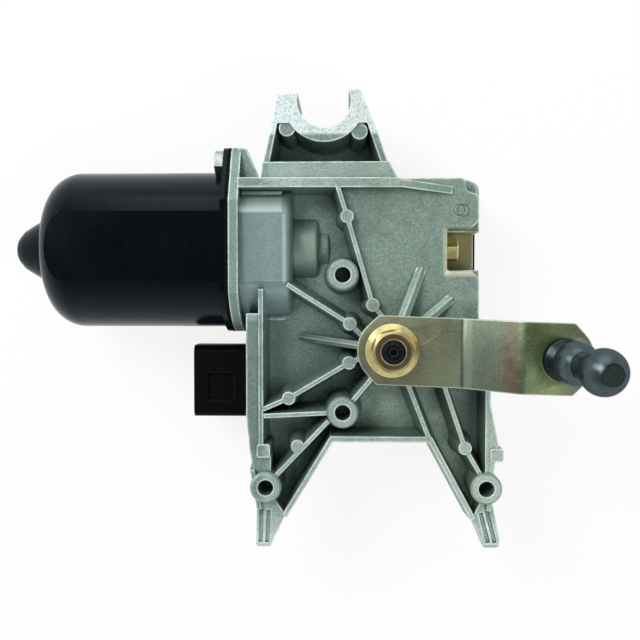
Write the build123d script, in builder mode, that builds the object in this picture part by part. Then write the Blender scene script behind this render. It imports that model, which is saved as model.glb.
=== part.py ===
from build123d import *
import math
import os

os.makedirs("parts", exist_ok=True)

# Wiper motor with its crank, lying on its back.
# z = 0 is the face of the mounting bosses, +Z runs out along the output shaft,
# the armature lies along X and the grommet saddle is on the +Y side.

# ---- fits ----
snug = 0.02            # radial gap of a seated piece
running = 0.04         # radial gap of a shaft in its bush
free_gap = 0.3         # gap between pieces that must not rub

# ---- levels of the die-cast housing along Z ----
rib_top = -1.5
wall_top = -3.0
plate_top = -5.5
floor_top = -17.0
skin = 3.0
case_back = -42.0
boss_back = -22.0
hub_top = 5.5

# ---- worm gear ----
shaft_distance = 35.5
tooth_module = 1.1
wheel_teeth = 53
pressure_angle = 20.0
addendum = 1.0
dedendum = 1.3
backlash = 0.24
wheel_face = 9.0
worm_length = 23.0
motor_z = -26.0
motor_y = shaft_distance
wheel_pitch_r = tooth_module * wheel_teeth / 2
worm_pitch_r = shaft_distance - wheel_pitch_r
worm_lead = math.pi * tooth_module
lead_angle = math.degrees(math.atan(worm_lead / (2 * math.pi * worm_pitch_r)))
wheel_tip_r = wheel_pitch_r + addendum
wheel_root_r = wheel_pitch_r - dedendum
worm_tip_r = worm_pitch_r + addendum
worm_root_r = worm_pitch_r - dedendum
wheel_front = motor_z + wheel_face / 2
wheel_back = motor_z - wheel_face / 2

# ---- output shaft, crank and its fixings ----
output_r = 6.0
taper_r = 4.9
thread_r = 4.0
shaft_tip = 22.0
arm_bottom = 9.0
arm_thickness = 3.0
arm_width = 23.2
arm_rise = 12.0
bend_start = 24.0
bend_end = 41.0
arm_pad_x = 52.5
arm_angle = -2.2
stud_x = 53.8
stud_lean = 7.2
stud_side_lean = 2.4
ball_r = 7.0

bend_radius = 5.0
taper_fall = 0.7
bush_length = 10.0
clip_z = 6.7
clip_groove = 1.3
clip_groove_r = 5.2
clip_r = 8.2
nut_seat = arm_bottom + arm_thickness
nut_flange_r = 8.95
nut_hex = 13.0
nut_height = 8.0
nut_face_r = 5.9
nut_turn = 15.8
stud_collar_r = 6.8
stud_neck_r = 4.4
stud_seat_depth = 0.3
lower_ball = 11.0
upper_ball = 30.2
ball_tip_r = 3.1
ring_back = wheel_back - 0.8
ring_outer_r = 24.5
ring_inner_r = 13.5

# ---- housing outline ----
pocket_gap = 0.45
pocket_wall = 2.4
pocket_r = wheel_tip_r + pocket_gap
case_right = pocket_r + pocket_wall
case_bottom = -case_right
case_top = 60.0
case_left = -50.5
case_inner_left = -32.0
case_step = 10.0
case_corner_r = 4.0
case_wall = 3.0

# ---- motor can ----
mouth_x = -56.4
mouth_flange = 3.4
gasket_thickness = 1.3
can_flange = 1.6
can_r = 28.8
can_flat = 26.0
can_wall = 1.8
can_end = -125.5
can_dome_r = 12.0
nose_end = -139.5
nose_r = 7.0
nose_tip_r = 3.0
nose_root_r = 13.0
nose_length = 5.0
flange_r = 30.6
ear_distance = 33.1
ear_r = 5.4
ear_angles = (21.3, 218.4)
can_screw_r = 2.5

neck_r = 26.0
neck_flat = 23.0
neck_end = -34.5
neck_round = 2.6
neck_bore_r = 21.0

can_flange_x = mouth_x - gasket_thickness - can_flange
ears = [
    (
        motor_y + ear_distance * math.cos(math.radians(a)),
        motor_z + ear_distance * math.sin(math.radians(a)),
    )
    for a in ear_angles
]

# ---- armature ----
armature_r = 4.0
bearing_r = 11.0
bearing_width = 7.0
bearing_x = neck_end + 0.8
tunnel_r = worm_tip_r + 0.45
tunnel_wall = 1.1
tunnel_end = 16.0
thrust_wall_end = 20.5
front_boss_end = -21.4
front_boss_r = 10.6
front_boss_round = 0.9

# ---- mounting bosses, from the output axis ----
boss_r = 5.5
boss_hole_r = 2.75
boss_depth = 14.0
boss_edge = 0.7
boss_draft = 4.5
inner_boss_x = -16.5
inner_boss_ys = (25.5, -22.5)
leg_boss_y = -49.0
leg_boss_xs = (-43.5, 33.5)
bosses = [(inner_boss_x, y) for y in inner_boss_ys] + [(x, leg_boss_y) for x in leg_boss_xs]

# ---- grommet saddle ----
saddle_x = -23.2
saddle_y = 87.4
saddle_r = 9.5
saddle_wall = 5.1
saddle_front = -8.0
saddle_back = -39.5
saddle_mouth = 8.4
saddle_mouth_x = -24.2
saddle_web = 4.0

rib_width = 1.5
rib_draft = 6.5
wall_draft = 3.0
pad_r = 2.3


motor_axis = Axis((0, motor_y, motor_z), (1, 0, 0))
along = Plane(origin=(0, motor_y, motor_z), x_dir=(1, 0, 0), z_dir=(0, 0, -1))


def x_plane(x):
    """A sketch plane across the armature, local x and y along world Y and Z."""
    return Plane.YZ.offset(x)


def upright_plane(start, end):
    """An upright plane through two plan points, local x from start to end and local y up."""
    run = Vector(end[0] - start[0], end[1] - start[1], 0)
    return Plane(origin=(start[0], start[1], 0), x_dir=run, z_dir=run.cross(Vector(0, 0, 1)))


# =====================================================================
# Gear housing: die-cast aluminium, open at the back
# =====================================================================
plate_right = case_right - 1.7
tab_x = -7.6
tab_top = -8.0
gusset_start = -51.2
gusset_end = -46.4
gusset_back = -15.0
gusset_thickness = 5.0
notch_left = 20.3
notch_low = 27.0
notch_high = 42.0
notch_lead = 2.6
notch_bevel = 1.3
notch_floor = -31.0
left_strip_x = -45.2
hub_r = 11.0
hub_draft = 2.0
web_top = 3.5
web_draft = 32.0
bush_r = 8.0
saddle_outer_r = saddle_r + saddle_wall

case_corners = [
    (case_left, case_bottom),
    (case_right, case_bottom),
    (case_right, case_top),
    (case_inner_left, case_top),
    (case_inner_left, case_step),
    (case_left, case_step),
]
plate_corners = [
    (-17.5, case_top - 0.5),
    (26.0, case_top - 0.5),
    (27.0, 55.0),
    (plate_right, 53.6),
    (plate_right, notch_high + notch_lead),
    (plate_right - notch_lead, notch_high),
    (notch_left, notch_high),
    (notch_left, notch_low),
    (plate_right - notch_lead, notch_low),
    (plate_right, notch_low - notch_lead),
    (plate_right, -9.0),
    (5.0, -9.0),
    (-5.0, 13.0),
    (-13.5, 42.0),
    (-17.5, 54.0),
]
plate_radii = [0.8, 0.8, 1.5, 2.0, 1.2, 0.8, 1.0, 1.0, 0.8, 1.2, 0.8, 0.8, 0.8, 0.8, 0.8]

left_leg = [
    (case_left, case_bottom + 4),
    (case_left, case_bottom),
    (-49.0, -43.5),
    (-46.6, -56.0),
    (-40.0, -62.5),
    (-37.5, -60.0),
    (-20.6, case_bottom + 0.5),
    (-20.6, case_bottom + 4),
]
right_leg = [
    (13.9, case_bottom + 4),
    (13.9, case_bottom + 0.5),
    (28.9, -60.5),
    (31.5, -62.5),
    (35.6, -56.0),
    (36.5, -44.0),
    (37.6, -34.0),
    (35.0, -19.0),
    (case_right - 1, -19.0),
]

left_prong = [
    (-46.7, -53.5),
    (-47.1, -71.6),
    (-42.4, -71.6),
    (-40.6, -67.0),
    (-36.9, -59.8),
    (-37.4, -58.0),
    (-40.5, -53.5),
]
right_prong = [
    (35.7, -53.5),
    (38.5, -66.5),
    (38.5, -71.4),
    (33.6, -71.4),
    (29.0, -60.6),
    (29.6, -58.6),
    (32.0, -53.5),
]
prong_grooves = [
    ((-45.2, -57.0), (-45.5, -69.0)),
    ((-42.6, -57.5), (-43.2, -69.0)),
    ((34.0, -57.0), (36.9, -68.6)),
    ((31.9, -58.0), (34.6, -68.6)),
]
prong_top = -3.0
prong_tips = ((-44.7, -71.6), (35.8, -71.4))
prong_groove_width = 1.5
prong_groove_depth = 1.0
prong_back = -13.0

wall_ribs = [
    ((-53.3, 57.8), (3.0, 57.6), 3.4),
    ((-20.4, -32.0), (14.4, -32.0), 2.0),
    ((-20.0, -31.4), (-36.9, -59.2), 1.8),
    ((13.8, -31.4), (29.2, -60.0), 1.8),
    ((left_strip_x, 20.5), (left_strip_x, -38.0), 1.6),
    ((-48.3, -43.0), (-45.8, -57.0), 1.6),
    ((35.2, -44.0), (34.6, -57.0), 1.6),
]
star_ribs = [
    ((-18.2, 56.0), (-15.0, 45.9)),
    ((-15.0, 45.9), (-6.0, 15.0)),
    ((-36.0, 22.2), (-14.0, 8.4)),
    ((-14.3, -5.2), (-35.4, -17.7)),
    ((-35.4, -17.7), (-44.4, -21.6)),
    ((-44.2, -24.0), (-21.0, -22.8)),
    ((-21.4, -25.6), (-40.4, -45.5)),
    ((-6.0, 15.0), (-1.0, 9.0)),
    ((-14.0, 8.4), (-8.5, 3.0)),
    ((-14.3, -5.2), (-8.5, -3.0)),
    ((-5.0, -9.0), (-13.0, -18.6)),
    ((5.0, -9.5), (14.2, -33.0)),
    ((17.5, -9.0), (26.2, -35.0)),
    ((26.2, -35.0), (32.0, -45.0)),
]
pads = [
    (-15.0, 45.9),
    (-6.0, 15.0),
    (-14.0, 8.4),
    (-14.3, -5.2),
    (-35.4, -17.7),
    (-32.3, -34.6),
    (26.2, -35.0),
]
square_pads = [(-44.3, -36.2), (37.2, -37.3)]
square_pad = 4.7
ejector_ring = (24.4, 48.3)
ejector_ring_r = 2.1
cover_screw_r = 2.0
cover_posts = [(27.4, 55.4), (-27.4, 55.4), (-46.0, -28.5), (28.5, -28.5)]
cover_post_r = 4.3
tray_depth = 9.0
wheel_ceiling = wheel_front + 1.5
cover_screw_grip = 9.0
ring_wall = 2.0
neck_floor_back = -38.0
bearing_wall = 3.0
bearing_boss_end = -25.4
bearing_boss_round = 1.5
thrust_screw_r = 4.0
connector_y = -14.4
connector_neck_half = 11.0
connector_neck_top = -29.5
connector_mouth = -73.5
connector_length = 19.4
connector_width = 27.5
connector_height = 15.0
shell_wall = 2.0
shell_back = 2.5
latch_depth = 1.3
latch_length = 10.2
latch_width = 10.4
pin_recess = 6.5

with BuildPart() as gear_housing:
    # neck round the brushes, flat on its front and back
    with BuildSketch(x_plane(mouth_x)):
        with Locations((motor_y, motor_z)):
            Circle(neck_r)
            Rectangle(2 * neck_r, 2 * neck_flat, mode=Mode.INTERSECT)
    extrude(amount=neck_end - mouth_x)
    fillet(gear_housing.edges().group_by(Axis.X)[-1], neck_round)

    # case body, an L in plan beside the neck of the motor
    with BuildSketch(Plane.XY.offset(case_back)):
        with BuildLine():
            FilletPolyline(case_corners, radius=case_corner_r, close=True)
        make_face()
    extrude(amount=floor_top - case_back)

    # raised plate over the worm's end and the gear's right side
    with BuildSketch(Plane.XY.offset(floor_top - skin)):
        with BuildLine():
            FilletPolyline(plate_corners, radius=plate_radii, close=True)
        make_face()
    extrude(amount=plate_top - floor_top + skin)

    # webs of the two legs
    for outline in (left_leg, right_leg):
        with BuildSketch(Plane.XY.offset(floor_top - skin)):
            with BuildLine():
                Polyline(outline, close=True)
            make_face()
        extrude(amount=skin)

    # prongs at the leg tips
    for outline in (left_prong, right_prong):
        with BuildSketch(Plane.XY.offset(prong_back)):
            with BuildLine():
                Polyline(outline, close=True)
            make_face()
        extrude(amount=prong_top - prong_back)

    with BuildSketch(Plane.XY.offset(prong_top)):
        for start, end in prong_grooves:
            with BuildLine():
                Line(start, end)
            trace(line_width=prong_groove_width)
    extrude(amount=-prong_groove_depth, mode=Mode.SUBTRACT)
    for spot in prong_tips:
        with BuildSketch(x_plane(spot[0] - 5)):
            with BuildLine():
                Polyline(
                    (spot[1] - 1, prong_top + 1),
                    (spot[1] + 2.0, prong_top + 1),
                    (spot[1] + 2.0, prong_top),
                    (spot[1], prong_top - 4.0),
                    (spot[1] - 1, prong_top - 4.0),
                    close=True,
                )
            make_face()
        extrude(amount=10, mode=Mode.SUBTRACT)

    # floor that joins the case to the neck
    with BuildSketch(Plane.XY.offset(neck_floor_back)):
        with Locations((neck_end, (case_step + case_top) / 2)):
            Rectangle(2 * case_corner_r, case_top - case_step)
    extrude(amount=floor_top - neck_floor_back)

    # mouth flange with two screw ears
    with BuildSketch(x_plane(mouth_x)):
        with Locations((motor_y, motor_z)):
            Circle(flange_r)
        with Locations(*ears):
            Circle(ear_r)
        make_hull()
        with Locations((motor_y, motor_z)):
            Rectangle(4 * flange_r, 2 * can_flat, mode=Mode.INTERSECT)
    extrude(amount=mouth_flange)

    # gusset from the upper ear down to the case
    with BuildSketch(Plane.XY.offset(gusset_back)):
        with BuildLine():
            Polyline(
                (mouth_x + mouth_flange - 1, case_top - 2),
                (mouth_x + mouth_flange - 1, ears[0][0] + ear_r - 0.6),
                (gusset_start, ears[0][0] + ear_r - 0.6),
                (gusset_end, case_top),
                (gusset_end, case_top - 2),
                close=True,
            )
        make_face()
    extrude(amount=gusset_thickness)

    # walls that stand as high as the ribs
    for start, end, width in wall_ribs:
        with BuildSketch(Plane.XY.offset(rib_top)):
            with BuildLine():
                Line(start, end)
            trace(line_width=width)
        extrude(amount=floor_top - rib_top - 1, taper=-wall_draft, clean=False)

    # star of thin drafted ribs round the hub
    for start, end in star_ribs:
        with BuildSketch(Plane.XY.offset(rib_top)):
            with BuildLine():
                Line(start, end)
            trace(line_width=rib_width)
        extrude(amount=floor_top - rib_top, taper=-rib_draft, clean=False)

    # broad left wall and the leaning right wall
    with BuildSketch(Plane.XY.offset(floor_top - skin)):
        with BuildLine():
            Polyline(
                (case_left, case_step + 2),
                (left_strip_x, case_step + 2),
                (left_strip_x, -38.0),
                (-41.8, -38.5),
                (-41.8, -47.0),
                (-47.4, -48.0),
                (-49.2, -37.0),
                (case_left, -24.0),
                close=True,
            )
        make_face()
    extrude(amount=wall_top - floor_top + skin)
    with BuildSketch(Plane.XY.offset(rib_top)):
        with BuildLine():
            Polyline(
                (33.2, -8.0),
                (35.0, -8.0),
                (35.0, -19.7),
                (37.8, -33.4),
                (35.9, -45.0),
                (33.2, -45.0),
                close=True,
            )
        make_face()
    extrude(amount=floor_top - skin - rib_top, taper=-1.5)

    # ejector pads and the two square pads
    with BuildSketch(Plane.XY.offset(rib_top + 0.1)):
        with Locations(*pads):
            Circle(pad_r)
    extrude(amount=floor_top - rib_top - 0.1, taper=-rib_draft)
    with BuildSketch(Plane.XY.offset(floor_top - skin)):
        with Locations(*square_pads):
            RectangleRounded(square_pad, square_pad, 0.9)
    extrude(amount=rib_top - floor_top + skin + 0.6)

    # mounting bosses
    with BuildSketch(Plane.XY.offset(-boss_edge)):
        with Locations(*[(inner_boss_x, y) for y in inner_boss_ys]):
            Circle(boss_r)
    extrude(amount=floor_top + boss_edge, taper=-boss_draft)
    with BuildSketch(Plane.XY.offset(boss_back)):
        with Locations(*[(x, leg_boss_y) for x in leg_boss_xs]):
            Circle(boss_r)
    extrude(amount=-boss_back - boss_edge)
    with BuildSketch(Plane.XY.offset(-boss_edge)):
        with Locations(*bosses):
            Circle(boss_r)
    extrude(amount=boss_edge, taper=45)

    # tab on the bottom wall
    with BuildSketch(Plane.XY.offset(boss_back)):
        with Locations((tab_x, case_bottom)):
            Rectangle(4.4, 2.4)
    extrude(amount=tab_top - boss_back)

    # hub of the output shaft with three sloping webs
    with BuildSketch(Plane.XY.offset(hub_top)):
        Circle(hub_r - 1)
    extrude(amount=floor_top - hub_top, taper=-hub_draft)
    for end, level, width in (
        ((-33.0, 3.3), floor_top, 2.6),
        ((11.5, 28.5), plate_top, 3.6),
        ((22.2, 17.8), plate_top, 3.6),
    ):
        web_run = math.hypot(*end)
        with BuildSketch(upright_plane((0, 0), end)):
            with BuildLine():
                Polyline(
                    (5.0, level - 1),
                    (5.0, web_top),
                    (hub_r, web_top),
                    (web_run, level + 0.8),
                    (web_run, level - 1),
                    close=True,
                )
            make_face()
        extrude(amount=width / 2, both=True, taper=web_draft)

    # sloping end of the top wall
    with BuildSketch(upright_plane((2.0, 57.6), (22.0, 55.2))):
        with BuildLine():
            Polyline(
                (0, plate_top - 1),
                (0, rib_top),
                (20.1, plate_top + 0.8),
                (20.1, plate_top - 1),
                close=True,
            )
        make_face()
    extrude(amount=1.4, both=True)

    # grommet saddle: trapezoid block, hollowed round a C-shaped wall
    with BuildSketch(Plane.XY.offset(saddle_back)):
        with BuildLine():
            Polyline(
                (-45.6, case_top - 1),
                (-44.8, 65.8),
                (-40.8, 84.9),
                (-40.0, 89.8),
                (-10.6, 91.4),
                (-5.2, 78.7),
                (-0.6, 66.0),
                (3.1, case_top - 1),
                close=True,
            )
        make_face()
    extrude(amount=saddle_front - saddle_back)
    with BuildSketch(Plane.XY.offset(saddle_front)):
        with BuildLine():
            Polyline((-45.6, case_top - 1), (-44.8, 65.2), (-0.4, 65.2), (3.1, case_top - 1), close=True)
        make_face()
    extrude(amount=4.0)
    with BuildSketch(Plane.XY.offset(saddle_back + saddle_web)):
        with BuildLine():
            Polyline((-42.7, 65.3), (-39.8, 79.5), (-7.9, 79.5), (-3.0, 65.3), close=True)
        make_face()
        with Locations((saddle_x, saddle_y)):
            Circle(saddle_outer_r, mode=Mode.SUBTRACT)
    extrude(amount=60, mode=Mode.SUBTRACT)
    with BuildSketch(Plane.XY.offset(saddle_back)):
        with Locations((saddle_x, saddle_y)):
            Circle(saddle_r)
        with Locations((saddle_mouth_x, saddle_y + saddle_r)):
            Rectangle(2 * saddle_mouth, 2 * saddle_r)
    extrude(amount=60, mode=Mode.SUBTRACT)
    with BuildSketch(Plane.XY.offset(saddle_back + saddle_web)):
        with Locations((-36.4, 77.8), (-10.6, 76.6)):
            Circle(2.9)
    extrude(amount=saddle_front - saddle_back - saddle_web - 0.6)

    # posts for the cover screws
    with BuildSketch(Plane.XY.offset(case_back)):
        with Locations(cover_posts[0]):
            Circle(cover_post_r)
    extrude(amount=30)

    # ---- everything hollow ----
    # rear tray
    with BuildSketch(Plane.XY.offset(case_back)):
        with BuildLine():
            FilletPolyline(
                (case_left + case_wall, case_bottom + case_wall),
                (case_right - case_wall, case_bottom + case_wall),
                (case_right - case_wall, case_top - case_wall),
                (case_inner_left + case_wall, case_top - case_wall),
                (case_inner_left + case_wall, case_step - case_wall),
                (case_left + case_wall, case_step - case_wall),
                radius=1.5,
                close=True,
            )
        make_face()
        with Locations(*cover_posts):
            Circle(cover_post_r, mode=Mode.SUBTRACT)
    extrude(amount=tray_depth, mode=Mode.SUBTRACT)

    # deep bays beside the gear and under the plate
    with BuildSketch(Plane.XY.offset(case_back)):
        with BuildLine():
            Polyline(
                (case_left + case_wall, case_bottom + case_wall),
                (-8.0, case_bottom + case_wall),
                (-8.0, case_step - case_wall),
                (case_left + case_wall, case_step - case_wall),
                close=True,
            )
        make_face()
        with Locations(cover_posts[2]):
            Circle(cover_post_r, mode=Mode.SUBTRACT)
    extrude(amount=floor_top - skin - case_back, mode=Mode.SUBTRACT)
    with BuildSketch(Plane.XY.offset(case_back)):
        with BuildLine():
            Polyline(
                (-11.0, 49.0),
                (plate_right - 8, 49.0),
                (plate_right - 8, 57.0),
                (-11.0, 57.0),
                close=True,
            )
        make_face()
    extrude(amount=plate_top - skin - case_back, mode=Mode.SUBTRACT)

    # wall round the gear, bearing seat and worm tunnel
    with BuildSketch(Plane.XY.offset(floor_top - skin)):
        Circle(pocket_r + ring_wall)
    extrude(amount=case_back + tray_depth - floor_top + skin)
    # bearing seat, front boss and worm tunnel, turned about the armature
    bearing_boss_r = bearing_r + bearing_wall
    tunnel_outer_r = tunnel_r + tunnel_wall
    with BuildSketch(along):
        with BuildLine():
            Polyline(
                (bearing_boss_end - bearing_boss_round, bearing_boss_r),
                (neck_end - 1, bearing_boss_r),
                (neck_end - 1, 0),
                (thrust_wall_end, 0),
                (thrust_wall_end, tunnel_outer_r),
                (front_boss_end, tunnel_outer_r),
                (front_boss_end, front_boss_r - front_boss_round),
            )
            RadiusArc(
                (front_boss_end, front_boss_r - front_boss_round),
                (front_boss_end - front_boss_round, front_boss_r),
                -front_boss_round,
            )
            Polyline(
                (front_boss_end - front_boss_round, front_boss_r),
                (bearing_boss_end, front_boss_r),
                (bearing_boss_end, bearing_boss_r - bearing_boss_round),
            )
            RadiusArc(
                (bearing_boss_end, bearing_boss_r - bearing_boss_round),
                (bearing_boss_end - bearing_boss_round, bearing_boss_r),
                -bearing_boss_round,
            )
        make_face()
    revolve(axis=motor_axis)

    # gear pocket
    with BuildSketch(Plane.XY.offset(case_back - 1)):
        Circle(pocket_r)
    extrude(amount=wheel_ceiling - case_back + 1, mode=Mode.SUBTRACT)

    # bores along the armature
    for start, length, radius in (
        (mouth_x, neck_end - case_wall - mouth_x, neck_bore_r),
        (neck_end - case_wall, bearing_x + bearing_width - neck_end + case_wall, bearing_r + snug),
        (bearing_x + bearing_width, tunnel_end - bearing_x - bearing_width, tunnel_r),
        (tunnel_end, thrust_wall_end - tunnel_end, thrust_screw_r + snug),
    ):
        with BuildSketch(x_plane(start)):
            with Locations((motor_y, motor_z)):
                Circle(radius)
        extrude(amount=length, mode=Mode.SUBTRACT)

    # bore for the output bushes
    with BuildSketch(Plane.XY.offset(wheel_ceiling)):
        Circle(bush_r)
    extrude(amount=hub_top - wheel_ceiling, mode=Mode.SUBTRACT)

    # notch over the head of the thrust screw
    with BuildSketch(Plane.XY.offset(notch_floor)):
        with BuildLine():
            Polyline(
                (thrust_wall_end, notch_low + 0.6),
                (case_right + 1, notch_low + 0.6),
                (case_right + 1, notch_high - 0.6),
                (thrust_wall_end, notch_high - 0.6),
                close=True,
            )
        make_face()
    extrude(amount=-notch_floor, mode=Mode.SUBTRACT)
    with BuildSketch(Plane.XY.offset(plate_top)):
        with BuildLine():
            Polyline(
                (notch_left - notch_bevel, notch_low + 0.6 - notch_bevel),
                (case_right + 3, notch_low + 0.6 - notch_bevel),
                (case_right + 3, notch_high - 0.6 + notch_bevel),
                (notch_left - notch_bevel, notch_high - 0.6 + notch_bevel),
                close=True,
            )
        make_face()
    extrude(amount=-notch_bevel, taper=45, mode=Mode.SUBTRACT)

    # slot in the left wall for the connector
    with BuildSketch(Plane.XY.offset(case_back)):
        with Locations((case_left, connector_y)):
            Rectangle(4 * case_wall, 2 * connector_neck_half)
    extrude(amount=connector_neck_top - case_back, mode=Mode.SUBTRACT)

    # screw holes: four mounting bosses, can ears, cover posts
    with BuildSketch(Plane.XY):
        with Locations(*bosses):
            Circle(boss_hole_r)
    extrude(amount=-boss_depth, mode=Mode.SUBTRACT)
    with BuildSketch(x_plane(mouth_x)):
        with Locations(*ears):
            Circle(can_screw_r + snug)
    extrude(amount=mouth_flange, mode=Mode.SUBTRACT)

    # ring left by an ejector on the plate
    with BuildSketch(Plane.XY.offset(plate_top)):
        with Locations(ejector_ring):
            Circle(ejector_ring_r)
            Circle(ejector_ring_r - 0.4, mode=Mode.SUBTRACT)
    extrude(amount=-0.25, mode=Mode.SUBTRACT)
    with BuildSketch(Plane.XY.offset(case_back)):
        with Locations(*cover_posts):
            Circle(cover_screw_r + snug)
    extrude(amount=cover_screw_grip, mode=Mode.SUBTRACT)

gear_housing.part.label = "gear_housing"
export_step(gear_housing.part, "parts/gear_housing.step")


# =====================================================================
# Rear cover, its seal and screws, and what sits under it
# =====================================================================
cover_back = motor_z - can_flat
seal_thickness = 0.8
cover_seat = case_back - seal_thickness
cover_lip = 2.1
cover_lip_height = 2.3
cover_wall = 2.2
screw_head_r = 3.5
screw_head_height = 3.0
cover_screw_end = case_back + cover_screw_grip - 1
board_top = -39.0
board_thickness = 1.6
board_post_r = 3.0
board_posts = [(-38.0, 0.0), (-38.0, -22.0), (20.0, -22.0), (0.0, 38.0)]

with BuildPart() as cover_seal:
    with BuildSketch(Plane.XY.offset(cover_seat)):
        with BuildLine():
            FilletPolyline(case_corners, radius=case_corner_r, close=True)
        make_face()
        offset(amount=-case_wall, kind=Kind.INTERSECTION, mode=Mode.SUBTRACT)
        with Locations(*cover_posts):
            Circle(cover_post_r)
            Circle(cover_screw_r + free_gap, mode=Mode.SUBTRACT)
    extrude(amount=seal_thickness)
cover_seal.part.label = "cover_seal"
export_step(cover_seal.part, "parts/cover_seal.step")

with BuildPart() as rear_cover:
    with BuildSketch(Plane.XY.offset(cover_back)):
        with BuildLine():
            FilletPolyline(case_corners, radius=case_corner_r, close=True)
        make_face()
        offset(amount=cover_lip)
    extrude(amount=cover_seat - cover_back + cover_lip_height)
    chamfer(rear_cover.faces().sort_by(Axis.Z)[0].edges(), 1.0)
    with BuildSketch(Plane.XY.offset(cover_seat)):
        with BuildLine():
            FilletPolyline(case_corners, radius=case_corner_r, close=True)
        make_face()
        offset(amount=snug)
    extrude(amount=cover_lip_height, mode=Mode.SUBTRACT)
    with BuildSketch(Plane.XY.offset(cover_back + cover_wall)):
        with BuildLine():
            FilletPolyline(case_corners, radius=case_corner_r, close=True)
        make_face()
        offset(amount=-cover_wall)
        with Locations(*cover_posts):
            Circle(cover_post_r, mode=Mode.SUBTRACT)
        with Locations(*board_posts):
            Circle(board_post_r, mode=Mode.SUBTRACT)
    extrude(amount=cover_seat - cover_back - cover_wall, mode=Mode.SUBTRACT)
    with BuildSketch(Plane.XY.offset(cover_back)):
        with Locations(*board_posts):
            Circle(board_post_r)
    extrude(amount=board_top - board_thickness - cover_back)
    with BuildSketch(Plane.XY.offset(cover_back)):
        with Locations(*cover_posts):
            Circle(screw_head_r + free_gap)
    extrude(amount=screw_head_height + 0.4, mode=Mode.SUBTRACT)
    with BuildSketch(Plane.XY.offset(cover_back)):
        with Locations(*cover_posts):
            Circle(cover_screw_r + free_gap)
    extrude(amount=cover_seat - cover_back, mode=Mode.SUBTRACT)
    # gap in the rim under the connector
    with BuildSketch(Plane.XY.offset(cover_seat)):
        with Locations((case_left, connector_y)):
            Rectangle(4 * case_wall, 2 * connector_neck_half)
    extrude(amount=cover_lip_height, mode=Mode.SUBTRACT)
rear_cover.part.label = "rear_cover"
export_step(rear_cover.part, "parts/rear_cover.step")

with BuildPart() as cover_screws:
    with BuildSketch(Plane.XY.offset(cover_back + 0.4)):
        with Locations(*cover_posts):
            Circle(screw_head_r)
            RegularPolygon(1.9, 6, mode=Mode.SUBTRACT)
    extrude(amount=screw_head_height - 0.8)
    with BuildSketch(Plane.XY.offset(cover_back + screw_head_height - 0.4)):
        with Locations(*cover_posts):
            Circle(screw_head_r)
    extrude(amount=0.8)
    with BuildSketch(Plane.XY.offset(cover_back + screw_head_height)):
        with Locations(*cover_posts):
            Circle(cover_screw_r)
    extrude(amount=cover_screw_end - cover_back - screw_head_height)
cover_screws.part.label = "cover_screws"
export_step(cover_screws.part, "parts/cover_screws.step")

# circuit board with the park contacts and the connector's pins
pin_rows = [connector_y + 4.2 * i for i in (-2, -1, 0, 1, 2)]
pin_width = 2.8
pin_thickness = 0.8
pin_z = -35.5
pin_tail_x = -43.0

with BuildPart() as circuit_board:
    with BuildSketch(Plane.XY.offset(board_top - board_thickness)):
        with BuildLine():
            Polyline(
                (case_left + case_wall + 1, case_bottom + case_wall + 1),
                (case_right - case_wall - 1, case_bottom + case_wall + 1),
                (case_right - case_wall - 1, 24.0),
                (12.0, 24.0),
                (12.0, 45.0),
                (-16.0, 45.0),
                (-16.0, case_step - case_wall - 1),
                (case_left + case_wall + 1, case_step - case_wall - 1),
                close=True,
            )
        make_face()
        with Locations(*cover_posts):
            Circle(cover_post_r + 0.5, mode=Mode.SUBTRACT)
        with Locations(*[(pin_tail_x, y) for y in pin_rows]):
            Rectangle(pin_thickness + 0.3, pin_width + 0.3, mode=Mode.SUBTRACT)
    extrude(amount=board_thickness)
circuit_board.part.label = "circuit_board"
export_step(circuit_board.part, "parts/circuit_board.step")

with BuildPart() as connector_pins:
    for y in pin_rows:
        with BuildSketch(Plane.XZ.offset(-y)):
            with BuildLine():
                Polyline(
                    (connector_mouth + pin_recess, pin_z),
                    (pin_tail_x, pin_z),
                    (pin_tail_x, board_top - board_thickness - 1),
                )
            trace(line_width=pin_thickness)
        extrude(amount=pin_width / 2, both=True)
connector_pins.part.label = "connector_pins"
export_step(connector_pins.part, "parts/connector_pins.step")

with BuildPart() as connector_shell:
    with BuildSketch(x_plane(connector_mouth)):
        with Locations((connector_y, pin_z)):
            RectangleRounded(connector_width, connector_height, 3.0)
            RectangleRounded(
                connector_width - 2 * shell_wall,
                connector_height - 2 * shell_wall,
                1.6,
                mode=Mode.SUBTRACT,
            )
    extrude(amount=connector_length)
    with BuildSketch(x_plane(connector_mouth + connector_length - shell_back)):
        with Locations((connector_y, pin_z)):
            RectangleRounded(connector_width, connector_height, 3.0)
    extrude(amount=shell_back)
    # neck that fills the slot in the housing wall
    with BuildSketch(Plane.XY.offset(case_back)):
        with BuildLine():
            Polyline(
                (connector_mouth + connector_length - 0.5, connector_y - connector_neck_half + snug),
                (case_left + case_wall + 0.5, connector_y - connector_neck_half + snug),
                (case_left + case_wall + 0.5, connector_y + connector_neck_half - snug),
                (connector_mouth + connector_length - 0.5, connector_y + connector_neck_half - snug),
                close=True,
            )
        make_face()
    extrude(amount=connector_neck_top - case_back)
    # latch window on the front face
    with BuildSketch(Plane.XY.offset(pin_z + connector_height / 2)):
        with Locations((connector_mouth + 10.2, connector_y - 2)):
            RectangleRounded(latch_length, latch_width, 0.8)
    extrude(amount=-latch_depth, mode=Mode.SUBTRACT)
    # slots that the pins pass through
    for y in pin_rows:
        with BuildSketch(x_plane(connector_mouth + connector_length - shell_back)):
            with Locations((y, pin_z)):
                Rectangle(pin_width + 2 * snug, pin_thickness + 2 * snug)
        extrude(amount=30, mode=Mode.SUBTRACT)
connector_shell.part.label = "connector_shell"
export_step(connector_shell.part, "parts/connector_shell.step")

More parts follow.
